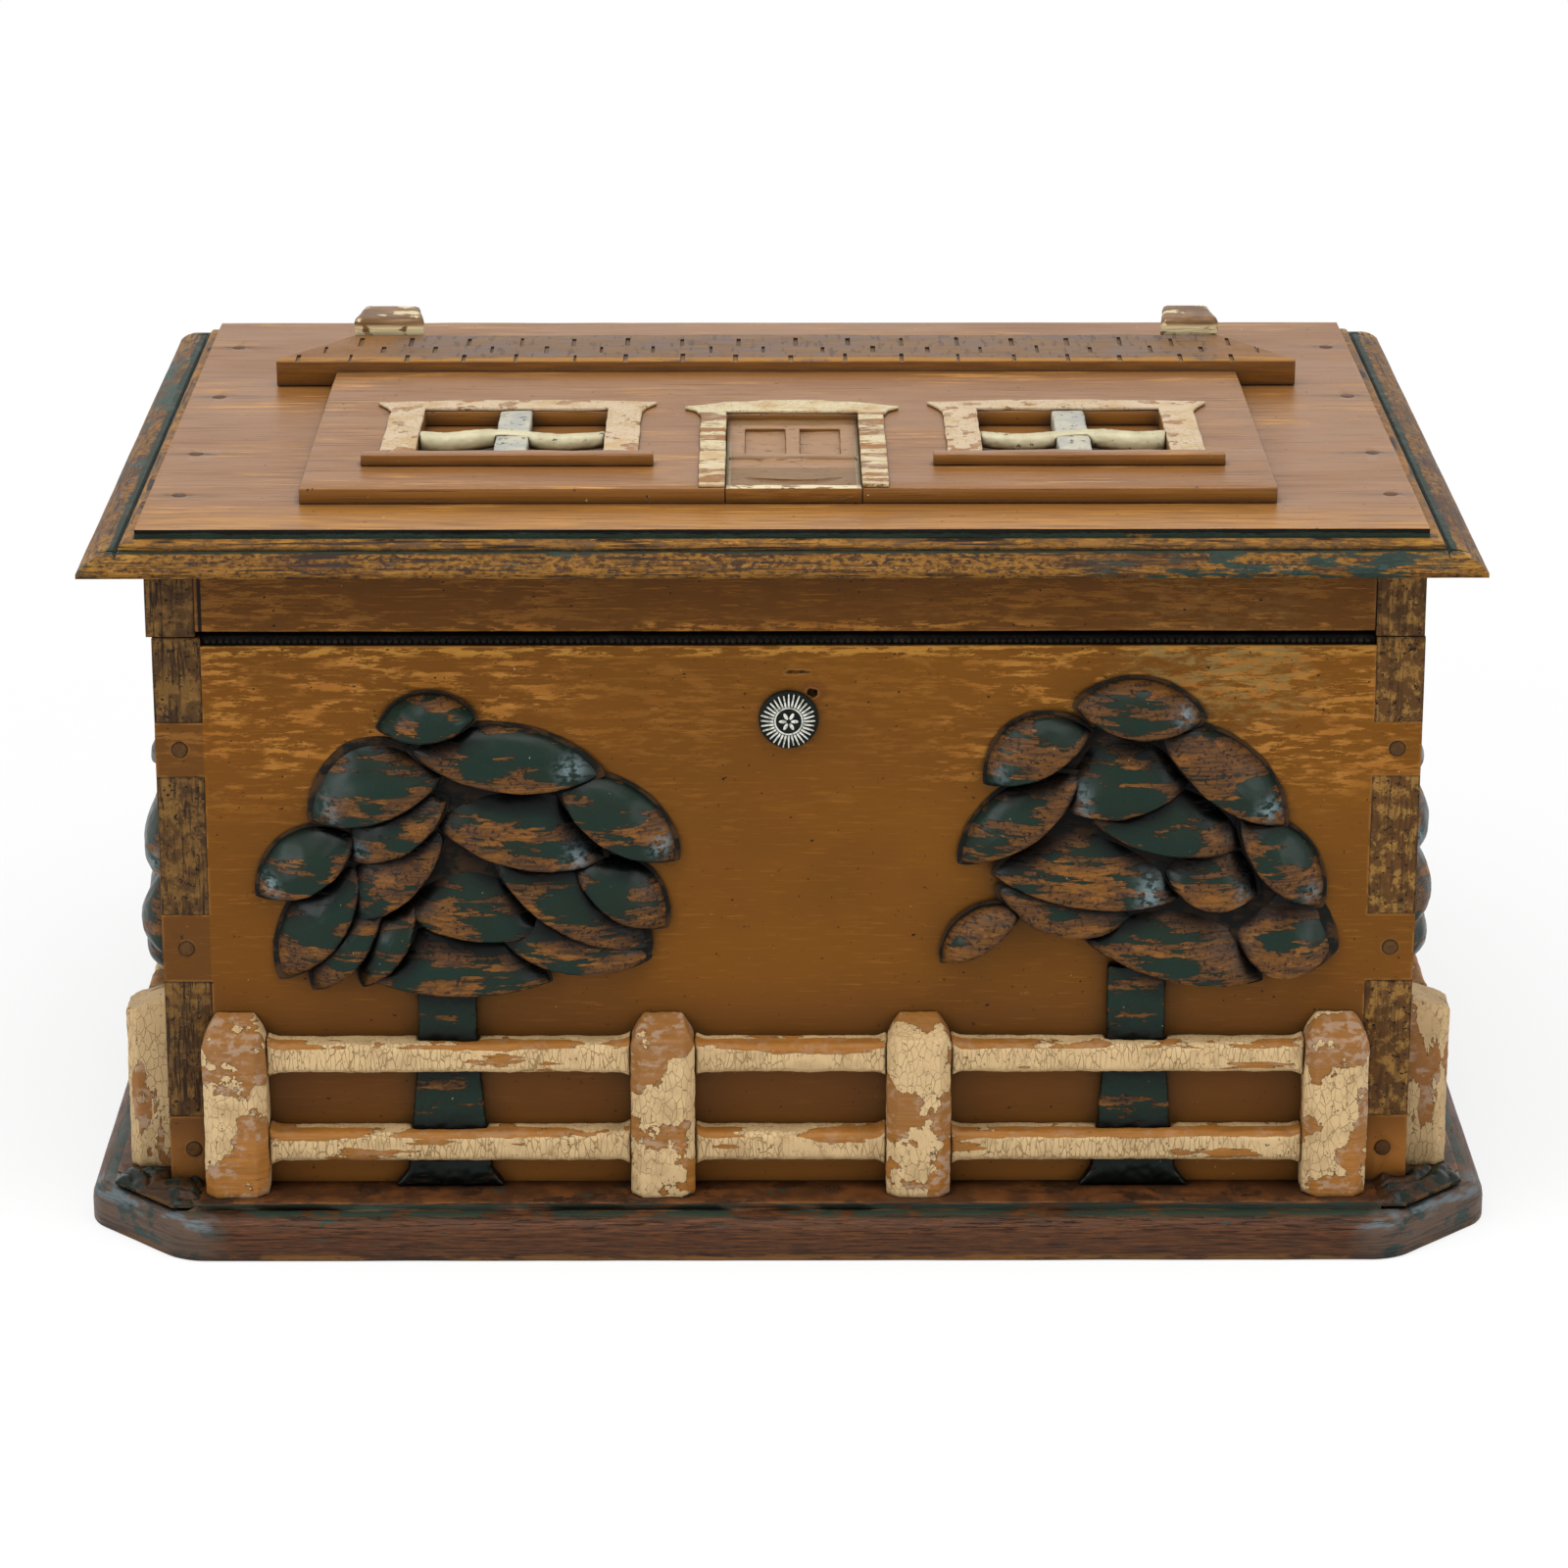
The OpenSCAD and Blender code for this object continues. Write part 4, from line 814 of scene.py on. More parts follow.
def white_bar_paint(name, ground, clouded, nick, nick_level):
    """Thick off-white paint of the window bars: rubbed smooth, with a few dark nicks."""
    p = new_paint(name)
    clouds = p.blotches(7, edge=0.15, detail=5)
    nicks = p.blotches((2.4, 2.4, 1.6), level=nick_level, edge=0.03, detail=5)
    # Painted shade where the bars meet the frame and each other
    colour = p.coats(ground, (clouds, clouded), (nicks, nick), (p.hollows(3), "#4a4028"))
    height = p.levels(0.6, (clouds, 0.75), (nicks, 0.2))
    return p.done(colour, p.levels(0.4, (nicks, 0.7)), height, depth=0.2)


def green_enamel(name, level):
    """Glossy dark green enamel on carved wood, rubbed through along rims and in ragged patches."""
    p = new_paint(name)
    tint = colours()
    rims, behind, gloss = (
        p.add("Attribute", attribute_name=title).part("Fac") for title in ("wear", "layer", "painted_highlight"))
    thin = (rims * 0.17 + p.band("Z", 0, 84, 12) * 0.06
            + p.blotches((11, 11, 1.2), edge=0.5, detail=10, rough=0.72) * 0.6
            + p.blotches((17, 17, 5), edge=0.5, detail=4, rough=0.5, shift=3))
    rubbed = p.add("MapRange", [thin, level - 0.008, level + 0.008])
    dull = p.add("MapRange", [thin, level - 0.04, level + 0.01])
    fibre = p.blotches((7, 7, 0.5), edge=0.12, shift=5)
    tone = p.blotches((12, 12, 5), edge=0.1, detail=5, shift=35)
    orange = p.blotches((9, 9, 2.5), level=0.55, edge=0.05, shift=44)
    specks = p.blotches(1.3, level=0.77, edge=0.01, detail=2, shift=7)
    # Painted highlights near the lower tips of the upper leaves
    sheen = gloss * p.blotches((2, 2, 1.3), level=0.49, edge=0.07, detail=7, shift=17)
    pits = p.blotches((1, 1, 0.9), level=0.58, edge=0.05, detail=4, shift=57)
    wood = p.coats("#422c1d", (orange, tint.green_worn), (fibre, "#654119"),
                   (pits * p.levels(1, (orange, 0.4)), "#261812"))
    worn_rim = p.blotches((9, 9, 6), edge=0.05, detail=7, shift=91)
    # Painted shadow, near black, in the gaps under the leaves' lower edges
    # The ground behind the leaves is near black: dark paint that also stands in for the shade in the gaps
    colour = p.coats(
        tint.green, (tone, "#15241a"), (dull, "#241f14"), (rubbed, wood), (sheen, "#74868a"),
        (behind, p.coats("#0b0c08", (worn_rim, "#3d2914"))), (specks, "#9aa09a"),
        (p.hollows(7, dark=0.95, light=0.6) * 0.75, "#030403"),
        (p.hollows(7, dark=0.81, light=0.73), "#010101"))
    height = p.levels(0.7, (rubbed, p.levels(0.35, (fibre, 0.45), (pits, 0.25))), (specks, 0.9))
    rough = p.levels(0.25, (rubbed, 0.5), (tone, 0.33), (behind, 0.7))
    return p.done(colour, rough, height, depth=0.2, gloss=0.16)


def black_cotton(name, ground, raised, dusty):
    """Black cotton, drawn as coarse as it needs to show: matt, with dust caught in it."""
    p = new_paint(name)
    weave = p.blotches(0.9, edge=0.2, detail=2)
    colour = p.coats(ground, (weave, raised), (p.blotches(9, level=0.6, edge=0.1), dusty))
    return p.done(colour, p.levels(0.95, (weave, 0.8)), weave, depth=0.15, gloss=0.08)


def dark_forged_iron():
    """Dark iron of hinges, nails and screws: brown rust in patches over a dull metal."""
    p = new_paint("dark_iron")
    rust = p.blotches(3, edge=0.08)
    colour = p.coats(colours().iron, (rust, "#4a2c18"))
    return p.done(colour, p.levels(0.45, (rust, 0.8)), rust, depth=0.08,
                  metal=p.levels(0.9, (rust, 0.1)))


def peg_end_grain():
    """End grain of the corner pegs, stained by old glue."""
    p = new_paint("peg_end_grain")
    rings = p.blotches(1.2, edge=0.15, detail=4)
    rim = p.worn_edges(0.6, start=0.995)
    # Painted shade round the peg's end in its hole
    colour = p.coats(colours().peg, (rings, "#4a2f14"), (rim, "#170d06"),
                     (p.hollows(1.2, dark=0.85), "#1a0f07"))
    return p.done(colour, p.levels(0.5, (rings, 0.6)), rings, depth=0.12, gloss=0.16)


def stud_metal(name, ground, spot, rough, metal):
    """Pressed metal of the stud: blackened ground, with the raised rays rubbed bright."""
    p = new_paint(name)
    wear = p.blotches(1.2, level=0.55, edge=0.08, detail=4)
    return p.done(p.coats(ground, (wear, spot)), p.levels(rough, (wear, rough + 0.15)), wear,
                  depth=0.05, gloss=0.12, metal=metal)


RECIPES = {
    "ochre": ochre_oil_paint,
    "end_grain": end_grain,
    "lid": thin_lid_paint,
    "moulding": moulding_paint,
    "base": stained_base_wood,
    "posts": lambda: flaked_cream_paint(
        "flaked_post_paint", 0.485, (16, 16, 15), edge_loss=-0.05, wood="#8f6236", low_wood="#a0682a",
        crack_width=0.035, crack=(1.5, 1.5, 3.2)),
    "rails": lambda: flaked_cream_paint(
        "flaked_rail_paint", 0.635, (24, 24, 4.5), edge_loss=0.09, top_loss=0.23, wood="#9c6526",
        crack_width=0.065, crack=(1.2, 1.2, 4.5), film=0.25),
    "side_posts": lambda: flaked_cream_paint(
        "flaked_side_post_paint", 0.54, (9, 9, 30), edge_loss=-0.05, wood="#8a5c34", crack_width=0.035,
        crack=(1.5, 1.5, 3.2), paint="#bd9f72"),
    "trim": lambda: flaked_cream_paint(
        "window_trim_paint", 0.62, 7, crack_width=0.02, paint=colours().trim, wood="#9a7757"),
    "door_trim": lambda: flaked_cream_paint(
        "door_trim_paint", 0.52, (30, 5, 30), crack_width=0.02, paint="#c5b692", wood="#7f5f42",
        kept_from=corners("door_frame")[1].y - 13),
    "roof": weathered_roof_paint,
    "chimney": chimney_paint,
    "door": door_paint,
    "ground": carved_ground_paint,
    "white": lambda: white_bar_paint("off_white_paint", colours().white, "#a99f7c", "#4c4226", 0.66),
    "grey_white": lambda: white_bar_paint("greyed_white_paint", "#b2ab94", "#93938a", "#474a45", 0.62),
    "leaf": lambda: green_enamel("green_leaf_enamel", 0.89),
    "worn_leaf": lambda: green_enamel("worn_green_leaf_enamel", 0.82),
    "trunk": lambda: green_enamel("green_trunk_enamel", 1.0),
    "cloth": lambda: black_cotton("black_cotton_cloth", colours().cloth, "#161310", "#1f1b16"),
    "thread": lambda: black_cotton("black_cotton_thread", "#191714", "#25221d", "#312d26"),
    "iron": dark_forged_iron,
    "peg": peg_end_grain,
    "stud_dark": lambda: stud_metal("blackened_stud_metal", "#0c110c", "#191e18", 0.5, 0.0),
    "stud_light": lambda: stud_metal("bright_stud_metal", "#dcdcd2", "#a2a296", 0.35, 0.3),
}
MADE = {}


def finish(name):
    """Makes each material when it is first asked for."""
    if name not in MADE:
        MADE[name] = RECIPES[name]()
    return MADE[name]


# Pieces

def wall_marks():
    """Cutters for the small hole and the gouge beside the stud."""
    marks = []
    for place, wide, tall, deep in ((HOLE, 1.4, 1.2, 1.8), (GOUGE, 3.2, 0.5, 0.7)):
        mark = primitive("ico_sphere", subdivisions=4, radius=1.0, location=by_stud(*place),
                         scale=(wide * MM, deep * MM, tall * MM))
        settle(mark, "mark")
        uneven(mark, 0.0009, 0.0012)
        marks.append(mark)
    return marks


def ochre_board(node, body, cell):
    """A board with ochre paint on its faces and end grain on its ends."""
    obj = board(node, "planed", cell)
    if node == "front_wall":
        cut_out(obj, wall_marks())
    place_piece(obj, body, "ochre_paint", "ochre", node)
    across = 1 if "left" in node or "right" in node else 0
    paint_faces(obj, "end_grain", lambda centre, normal: abs(normal[across]) > 0.6)


class PAINTEDBOX_OT_carcass(bpy.types.Operator):
    """Planed walls with eased corners and end grain on the fingers"""
    bl_idname = "painted_box.carcass"
    bl_label = "Carcass walls"

    def execute(self, context):
        for side in ("front", "back", "left", "right"):
            ochre_board(side + "_wall", "box", 0.008)
        return {"FINISHED"}


class PAINTEDBOX_OT_base(bpy.types.Operator):
    """Base board with its rounded nosing"""
    bl_idname = "painted_box.base"
    bl_label = "Base board"

    def execute(self, context):
        obj = board("base_board", "stained", 0.006, ease=0.0004, shape=round_corners)
        place_piece(obj, "box", "base_wood", "base", "base_board")
        for across, side in ((-1, "left"), (1, "right")):
            for along, end in ((-1, "front"), (1, "back")):
                ground = corner_ground(f"{end}_{side}_ground", across, along)
                place_piece(ground, "box", "base_wood", "ground")
        return {"FINISHED"}


def round_corners(obj):
    """Rounds the base board's clipped corners over the whole height of its nosing."""
    reach, nosing = 26, 5
    inner_x, inner_y = CAD_HIGH.x / MM - reach, CAD_HIGH.y / MM - reach

    def at_corner(edge):
        a, b = (obj.data.vertices[i].co / MM for i in edge.vertices)
        return ((a - b).length < reach / 2 and min(abs(a.x), abs(b.x)) > inner_x
                and min(abs(a.y), abs(b.y)) > inner_y)

    select(obj, "EDGE", at_corner)
    bpy.ops.mesh.bevel(offset=nosing * MM, segments=5, profile=0.5)
    close_mesh()


def corner_ground(name, across, along):
    """Carved ground round one corner of the walls: wavy ridges that die out towards the base's edge."""
    # In mm: how far it reaches along the walls, out from them, out over the clipped corner and under
    # the walls, then its cells, its depth in the board, its least rise and the width of its fading edge
    inner, outer, clipped, under_wall = 9, 14, 12.5, 1.2
    cell, sink, rise, fading = 0.45, 0.6, 0.4, 3.5
    # The ridges' height in mm and their turn in radians per mm
    ridge_height, ridge_turn = 1.5, 0.62
    corner = Vector((RIGHT_X * across, BACK_Y * along, 0))
    middle = corner + Vector((across, along, 0)) * (outer - inner) / 2
    side = inner + outer
    obj = primitive("grid", x_subdivisions=int(side / cell), y_subdivisions=int(side / cell),
                    size=side * MM, location=(middle.x * MM, middle.y * MM, BASE_TOP * MM))
    settle(obj, name)

    def outside(point):
        away = point / MM - corner
        return away.x * across, away.y * along

    def room(point):
        """How far a point is from the edge of the ground: below 0 it lies off it."""
        out_x, out_y = outside(point)
        to_chamfer = (clipped - out_x - out_y) / 2 ** 0.5
        return min(to_chamfer, outer - out_x, outer - out_y, inner + out_x, inner + out_y)

    select(obj, "FACE", lambda face: room(face.center) < 0 or max(outside(face.center)) < -under_wall)
    bpy.ops.mesh.delete(type="FACE")
    close_mesh()
    for vertex in obj.data.vertices:
        place = vertex.co / MM
        out_x, out_y = outside(vertex.co)
        fade = min(max(room(vertex.co) / fading, 0), 1)
        swirl = noise.noise(place * 0.13) * 4
        turn = (max(out_x, out_y) + 0.35 * min(out_x, out_y) + swirl) * ridge_turn
        ridge = ridge_height * abs(math.sin(turn)) ** 0.8
        rough = noise.noise(place * 0.4) * 0.6
        vertex.co.z += (-sink + (sink + rise + ridge + rough) * fade) * MM
    # Closed downwards, then pressed flat just inside the board
    open_mesh(obj)
    bpy.ops.mesh.extrude_region_move(TRANSFORM_OT_translate={"value": (0, 0, -6 * MM)})
    bpy.ops.mesh.select_all(action="SELECT")
    bpy.ops.mesh.normals_make_consistent(inside=False)
    close_mesh()
    bottom = (BASE_TOP - 2 * sink) * MM
    for vertex in obj.data.vertices:
        vertex.co.z = max(vertex.co.z, bottom)
    soft_shade(obj, 70)
    return obj


class PAINTEDBOX_OT_lid(bpy.types.Operator):
    """Lid board with its moulded edge, and the frame under it"""
    bl_idname = "painted_box.lid"
    bl_label = "Lid board and frame"

    def execute(self, context):
        lid = board("lid_board", "painted", 0.007, ease=0.0003)
        place_piece(lid, "lid", "lid_paint", "lid", "lid_board")
        # The moulding's inner end, in mm from the board's edge
        edge = 12.4

        def moulded(centre, normal):
            inset = min(centre.x - LID_LOW.x, LID_HIGH.x - centre.x, centre.y - LID_LOW.y,
                        LID_HIGH.y - centre.y)
            return inset < edge + 0.4 and (inset < edge or normal.z < 0.7) and normal.z > -0.7

        paint_faces(lid, "moulding", moulded)
        for side in ("front", "back", "left", "right"):
            ochre_board(f"lid_{side}_rail", "lid", 0.007)
        return {"FINISHED"}


class PAINTEDBOX_OT_cottage(bpy.types.Operator):
    """Cottage front, roof and chimneys on the lid"""
    bl_idname = "painted_box.cottage"
    bl_label = "Cottage"

    def execute(self, context):
        plan = (
            ("cottage_front", "lid", 0.006, 0.0004, 0.0004, 0.02),
            ("cottage_roof", "roof", 0.006, 0.0006, 0.0006, 0.02),
            ("left_chimney", "chimney", 0.003, 0.0014, 0.0008, 0.008),
            ("right_chimney", "chimney", 0.003, 0.0014, 0.0008, 0.008),
        )
        for node, paint, *shaping in plan:
            obj = board(node, "cut", *shaping)
            if node == "cottage_roof":
                cut_out(obj, shingle_cuts())
            place_piece(obj, "lid", "lid_paint", paint, node)
        return {"FINISHED"}


def shingle_cuts():
    """Shallow saw cuts in three rows, the middle one staggered, which stand for shingles."""
    low, high = corners("cottage_roof")
    chance = random.Random(12)
    pitch, deep = 14.3, 0.5
    cuts = []
    for start, end, offset in ((-1.0, 7.5, 0.0), (8.5, 16.5, 0.5), (16.0, 26.0, 0.0)):
        x = low.x + pitch * (0.35 + offset)
        while x < high.x - 4:
            left = x + chance.uniform(-0.8, 0.8)
            wide = chance.uniform(0.7, 1.3)
            top = low.y + end - chance.uniform(0.0, 2.0)
            ends = ((left, left + wide), (low.y + start, top), (high.z - deep, high.z + 2))
            cut = primitive("cube", size=1.0, location=[(a + b) / 2 * MM for a, b in ends],
                            scale=[(b - a) * MM for a, b in ends])
            cuts.append(settle(cut, "cut"))
            x += pitch
    return cuts


class PAINTEDBOX_OT_windows(bpy.types.Operator):
    """Window frames, sills and bars"""
    bl_idname = "painted_box.windows"
    bl_label = "Windows"

    def execute(self, context):
        for side, thick_end in (("left", -1), ("right", 1)):
            parts = (
                ("window_frame", "cream_paint", "trim", board, (0.0025, 0.0003, 0.0006, 0.008)),
                ("window_sill", "lid_paint", "lid", board, (0.0025, 0.0004, 0.0006, 0.01)),
                ("upright_bar", "cream_paint", "grey_white", carved, (0.0005, 0.006, 0.0005)),
                ("cross_bar", "cream_paint", "white", carved, (0.0005, 0.006, 0.0004)),
            )
            for part, slot, paint, make, shaping in parts:
                node = f"{side}_{part}"
                obj = make(node, "cut", *shaping)
                if part == "cross_bar":
                    bend_bar(obj, thick_end)
                place_piece(obj, "lid", slot, paint, node)
        return {"FINISHED"}


def bend_bar(obj, thick_end):
    """Bends a whittled bar like a shallow yoke and thins it towards one end."""
    # The bar's thickness and its taper as shares of the blank's, and the waist where the bars cross
    usual, taper, waist, waist_reach = 0.88, 0.14, 0.14, 0.25
    # How far the yoke waves along the lid and off it, in mm, and its shift to the thick end
    wave, lift, shift = 1.0, 0.3, 0.12
    low = min(vertex.co.x for vertex in obj.data.vertices)
    high = max(vertex.co.x for vertex in obj.data.vertices)
    middle = sum((vertex.co for vertex in obj.data.vertices), Vector()) / len(obj.data.vertices)
    for vertex in obj.data.vertices:
        along = 2 * (vertex.co.x - low) / (high - low) - 1
        thick = usual + taper * along * thick_end - waist * math.exp(-(along / waist_reach) ** 2)
        rise = math.cos((along - shift * thick_end) * math.pi * 1.5)
        vertex.co.y = middle.y + (vertex.co.y - middle.y) * thick + wave * rise * MM
        vertex.co.z = middle.z + (vertex.co.z - middle.z) * thick + lift * rise * MM


class PAINTEDBOX_OT_door(bpy.types.Operator):
    """Door frame and door leaf"""
    bl_idname = "painted_box.door"
    bl_label = "Door"

    def execute(self, context):
        surround = board("door_frame", "cut", 0.0025, ease=0.0003, relief=0.0006, scale=0.008)
        place_piece(surround, "lid", "cream_paint", "door_trim", "door_frame")
        door = board("door_leaf", "cut", 0.0025, ease=0.0004, relief=0.0005, scale=0.008)
        cut_out(door, [door_gouge()])
        place_piece(door, "lid", "lid_paint", "door", "door_leaf")
        return {"FINISHED"}


def door_gouge():
    """The bow-shaped gouge across the door's lower panel."""
    low, high = corners("door_leaf")
    # In mm: half its width and height, its bow, its depth, and its place on the leaf
    half_wide, half_tall, bow, deep, above_foot, under_face = 12, 2.2, 4, 1.4, 15, 1.3
    cutter = primitive("uv_sphere", segments=32, ring_count=16, radius=1.0)
    for vertex in cutter.data.vertices:
        x, y, z = vertex.co
        vertex.co = (
            ((low.x + high.x) / 2 + half_wide * x) * MM,
            (low.y + above_foot + half_tall * y - bow * (1 - x * x)) * MM,
            (high.z - under_face + deep * z) * MM)
    return cutter


class PAINTEDBOX_OT_fence(bpy.types.Operator):
    """Posts and rails round the walls"""
    bl_idname = "painted_box.fence"
    bl_label = "Fence"

    def execute(self, context):
        for side in ("front", "left", "right"):
            for part in ("fence_posts", "upper_rail", "lower_rail"):
                node = f"{side}_{part}"
                obj = carved(node, "carved", relief=0.0006, scale=0.008, grain=0.0006, passes=1)
                shape = clip_heads if part == "fence_posts" else flare_ends
                shape(obj, 0 if side == "front" else 1)
                posts = "posts" if side == "front" else "side_posts"
                place_piece(obj, "box", "cream_paint", posts if part == "fence_posts" else "rails", node)
        return {"FINISHED"}


def runs(obj, axis):
    """Where each of a row of separate pieces starts and ends along an axis."""
    places = sorted(vertex.co[axis] for vertex in obj.data.vertices)
    ends = [places[0]]
    for before, after in zip(places, places[1:]):
        if after - before > 5 * MM:
            ends += [before, after]
    ends.append(places[-1])
    return list(zip(ends[::2], ends[1::2]))


def clip_heads(obj, axis):
    """Clips the shoulders of the posts, as a knife does."""
    top = max(vertex.co.z for vertex in obj.data.vertices)
    tall, clip = 6.5 * MM, 3.4 * MM
    for low, high in runs(obj, axis):
        middle, half = (low + high) / 2, (high - low) / 2
        for vertex in obj.data.vertices:
            aside = vertex.co[axis] - middle
            rise = (vertex.co.z - (top - tall)) / tall
            if abs(aside) <= half and rise > 0:
                room = half - clip * rise ** 1.6
                vertex.co[axis] = middle + aside * room / half


def flare_ends(obj, axis):
    """Widens each rail a little towards the posts that it is carved into."""
    middle = sum(vertex.co.z for vertex in obj.data.vertices) / len(obj.data.vertices)
    ends = [end for run in runs(obj, axis) for end in run]
    reach, rise = 3.5 * MM, 1.3 * MM
    for vertex in obj.data.vertices:
        away = min(abs(vertex.co[axis] - end) for end in ends)
        if away < reach:
            vertex.co.z += math.copysign(rise * (1 - away / reach) ** 2, vertex.co.z - middle)


def leaf(name, tips, above, below, proud, spread=0.0, share=1.0, behind=0.0, glossy=0.0):
    """A carved leaf laid out with x along the wall, y up and z outwards, in mm.

    Its face is domed and leans back to the top, and its edge is cut in towards the wall.
    """
    obj = primitive("uv_sphere", segments=56, ring_count=28, radius=1.0)
    obj.name = name
    left, right = Vector(tips[:2]), Vector(tips[2:])
    middle = (left + right) / 2
    along = (right - left) / 2
    up = Vector((-along.y, along.x)).normalized()
    along += along.normalized() * spread
    above, below = above + spread, below + spread
    crest = middle + up * (above - below) * 0.25
    lean = math.tan(sizes().leaf_lift)
    low_tip = 1 if right.y < left.y else -1
    # In mm: how far the face domes, falls off towards the tips and stands out at least, then the
    # share of the leaf that its foot keeps at the wall
    dome, fall, thinnest, foot = (1.3 if behind else 3.0) * share, 3.2, 1.8, 0.72
    # The painted highlight's place along a glossy leaf, its length and its height, as shares of the leaf
    gleam_at, gleam_long, gleam_tall = 0.68, 0.12, 0.3
    for title in ("wear", "painted_highlight", "layer"):
        obj.data.attributes.new(title, "FLOAT", "POINT")
    wear, painted_highlight, layer = (obj.data.attributes[title].data for title in ("wear", "painted_highlight", "layer"))
    for number, vertex in enumerate(obj.data.vertices):
        x, y, z = vertex.co
        reach = min(math.hypot(x, y), 1.0)
        cosine, sine = (x / reach, y / reach) if reach > 1e-4 else (1.0, 0.0)
        bow = sine * abs(sine) ** 0.5
        rim = middle + along * cosine + up * bow * (above if sine > 0 else below)
        inward = reach if z > 0 else foot + (1 - foot) * reach
        place = crest + (rim - crest) * (inward if reach > 1e-4 else 0.0)
        height = (place - middle).dot(up) + below
        aside = (place - middle).dot(along) / along.length_squared
        face = max(proud - lean * height - fall * aside * aside * (1 - behind), thinnest) * share
        out = face - dome * (1 - z) if z > 0 else (face - dome) * (1 + z)
        vertex.co = (place.x, place.y, max(out, 0.0))
        wear[number].value = reach ** 3 * (1.0 if sine < 0 else 0.6)
        painted_highlight[number].value = glossy * math.exp(
            -((aside * low_tip - gleam_at) / gleam_long) ** 2
            - ((height - below - 1) / (gleam_tall * above)) ** 2)
        layer[number].value = behind
    return obj


def canopy(name, side, trunk_at, leaves, ground, mirrored=False):
    """Leaves that lap like shingles over a dark ground, each with a stepped rim behind it."""
    chance = random.Random(name)
    proud = sizes().leaf_proud / MM

    def turned(tips):
        left_x, left_y, right_x, right_y = tips
        return (-right_x, right_y, -left_x, left_y) if mirrored else tips

    parts = [leaf(name, turned(ground[:4]), *ground[4:], proud=2.0, behind=1.0)]
    for number, (*tips, above, below) in enumerate(leaves):
        tips = turned(tips)
        height = proud - chance.uniform(0.0, 0.5)
        # Leaves in the upper half get a painted highlight, where the lamp over the box would catch them
        glossy = chance.choice((1.0, 0.9, 0.7, 0.4, 0.0)) if tips[1] + tips[3] > 2 * 75 else 0.0
        parts.append(leaf(f"{name}_{number}", tips, above, below, height, glossy=glossy))
        parts.append(leaf(f"{name}_{number}_rim", tips, above, below, height,
                          spread=0.7, share=0.32, behind=1.0))
    whole = joined(parts, name)
    # The tree is laid out flat, then stood up, turned on to its wall and pressed flat against it
    axis, face, sign, turn = {
        "front": (1, FRONT_Y, -1, 0), "left": (0, LEFT_X, -1, -math.pi / 2),
        "right": (0, RIGHT_X, 1, math.pi / 2)}[side]
    at_wall = Vector((0, 0, 0))
    at_wall[axis] = face * MM
    whole.data.transform(
        Matrix.Translation(at_wall) @ Matrix.Rotation(turn, 4, "Z") @ Matrix.Rotation(math.pi / 2, 4, "X")
        @ Matrix.Translation((trunk_at * MM, BASE_TOP * MM, 0)) @ Matrix.Scale(MM, 4))
    uneven(whole, 0.0006, 0.006)
    uneven(whole, 0.0002, 0.002)
    for vertex in whole.data.vertices:
        vertex.co[axis] = sign * max(sign * vertex.co[axis], sign * face * MM)
    soft_shade(whole, 50)
    return whole


class PAINTEDBOX_OT_trees(bpy.types.Operator):
    """Trunks and leaf canopies on the front and the sides"""
    bl_idname = "painted_box.trees"
    bl_label = "Trees"

    def execute(self, context):
        for node in ("front_left_trunk", "front_right_trunk", "left_side_trunks", "right_side_trunks"):
            trunk = carved(node, "carved", relief=0.0007, grain=0.0006)
            place_piece(trunk, "box", "green_paint", "trunk", node)
        left_x, right_x = (
            sum(corner.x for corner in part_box(f"front_{side}_trunk")) / 2 / MM for side in ("left", "right"))
        plan = (
            ("front_left", left_x, "leaf", LEFT_LEAVES, LEFT_GROUND, False),
            ("front_right", right_x, "worn_leaf", RIGHT_LEAVES, RIGHT_GROUND, False),
            ("left_near", SIDE_TREE, "leaf", SIDE_LEAVES, SIDE_GROUND, False),
            ("left_far", -SIDE_TREE, "leaf", SIDE_LEAVES, SIDE_GROUND, True),
            ("right_near", -SIDE_TREE, "worn_leaf", SIDE_LEAVES, SIDE_GROUND, False),
            ("right_far", SIDE_TREE, "worn_leaf", SIDE_LEAVES, SIDE_GROUND, True),
        )
        for place, trunk_at, paint, leaves, ground, mirrored in plan:
            node = place + "_canopy"
            obj = canopy(node + "_carved", place.split("_")[0], trunk_at, leaves, ground, mirrored)
            place_piece(obj, "box", "green_paint", paint, node)
        return {"FINISHED"}


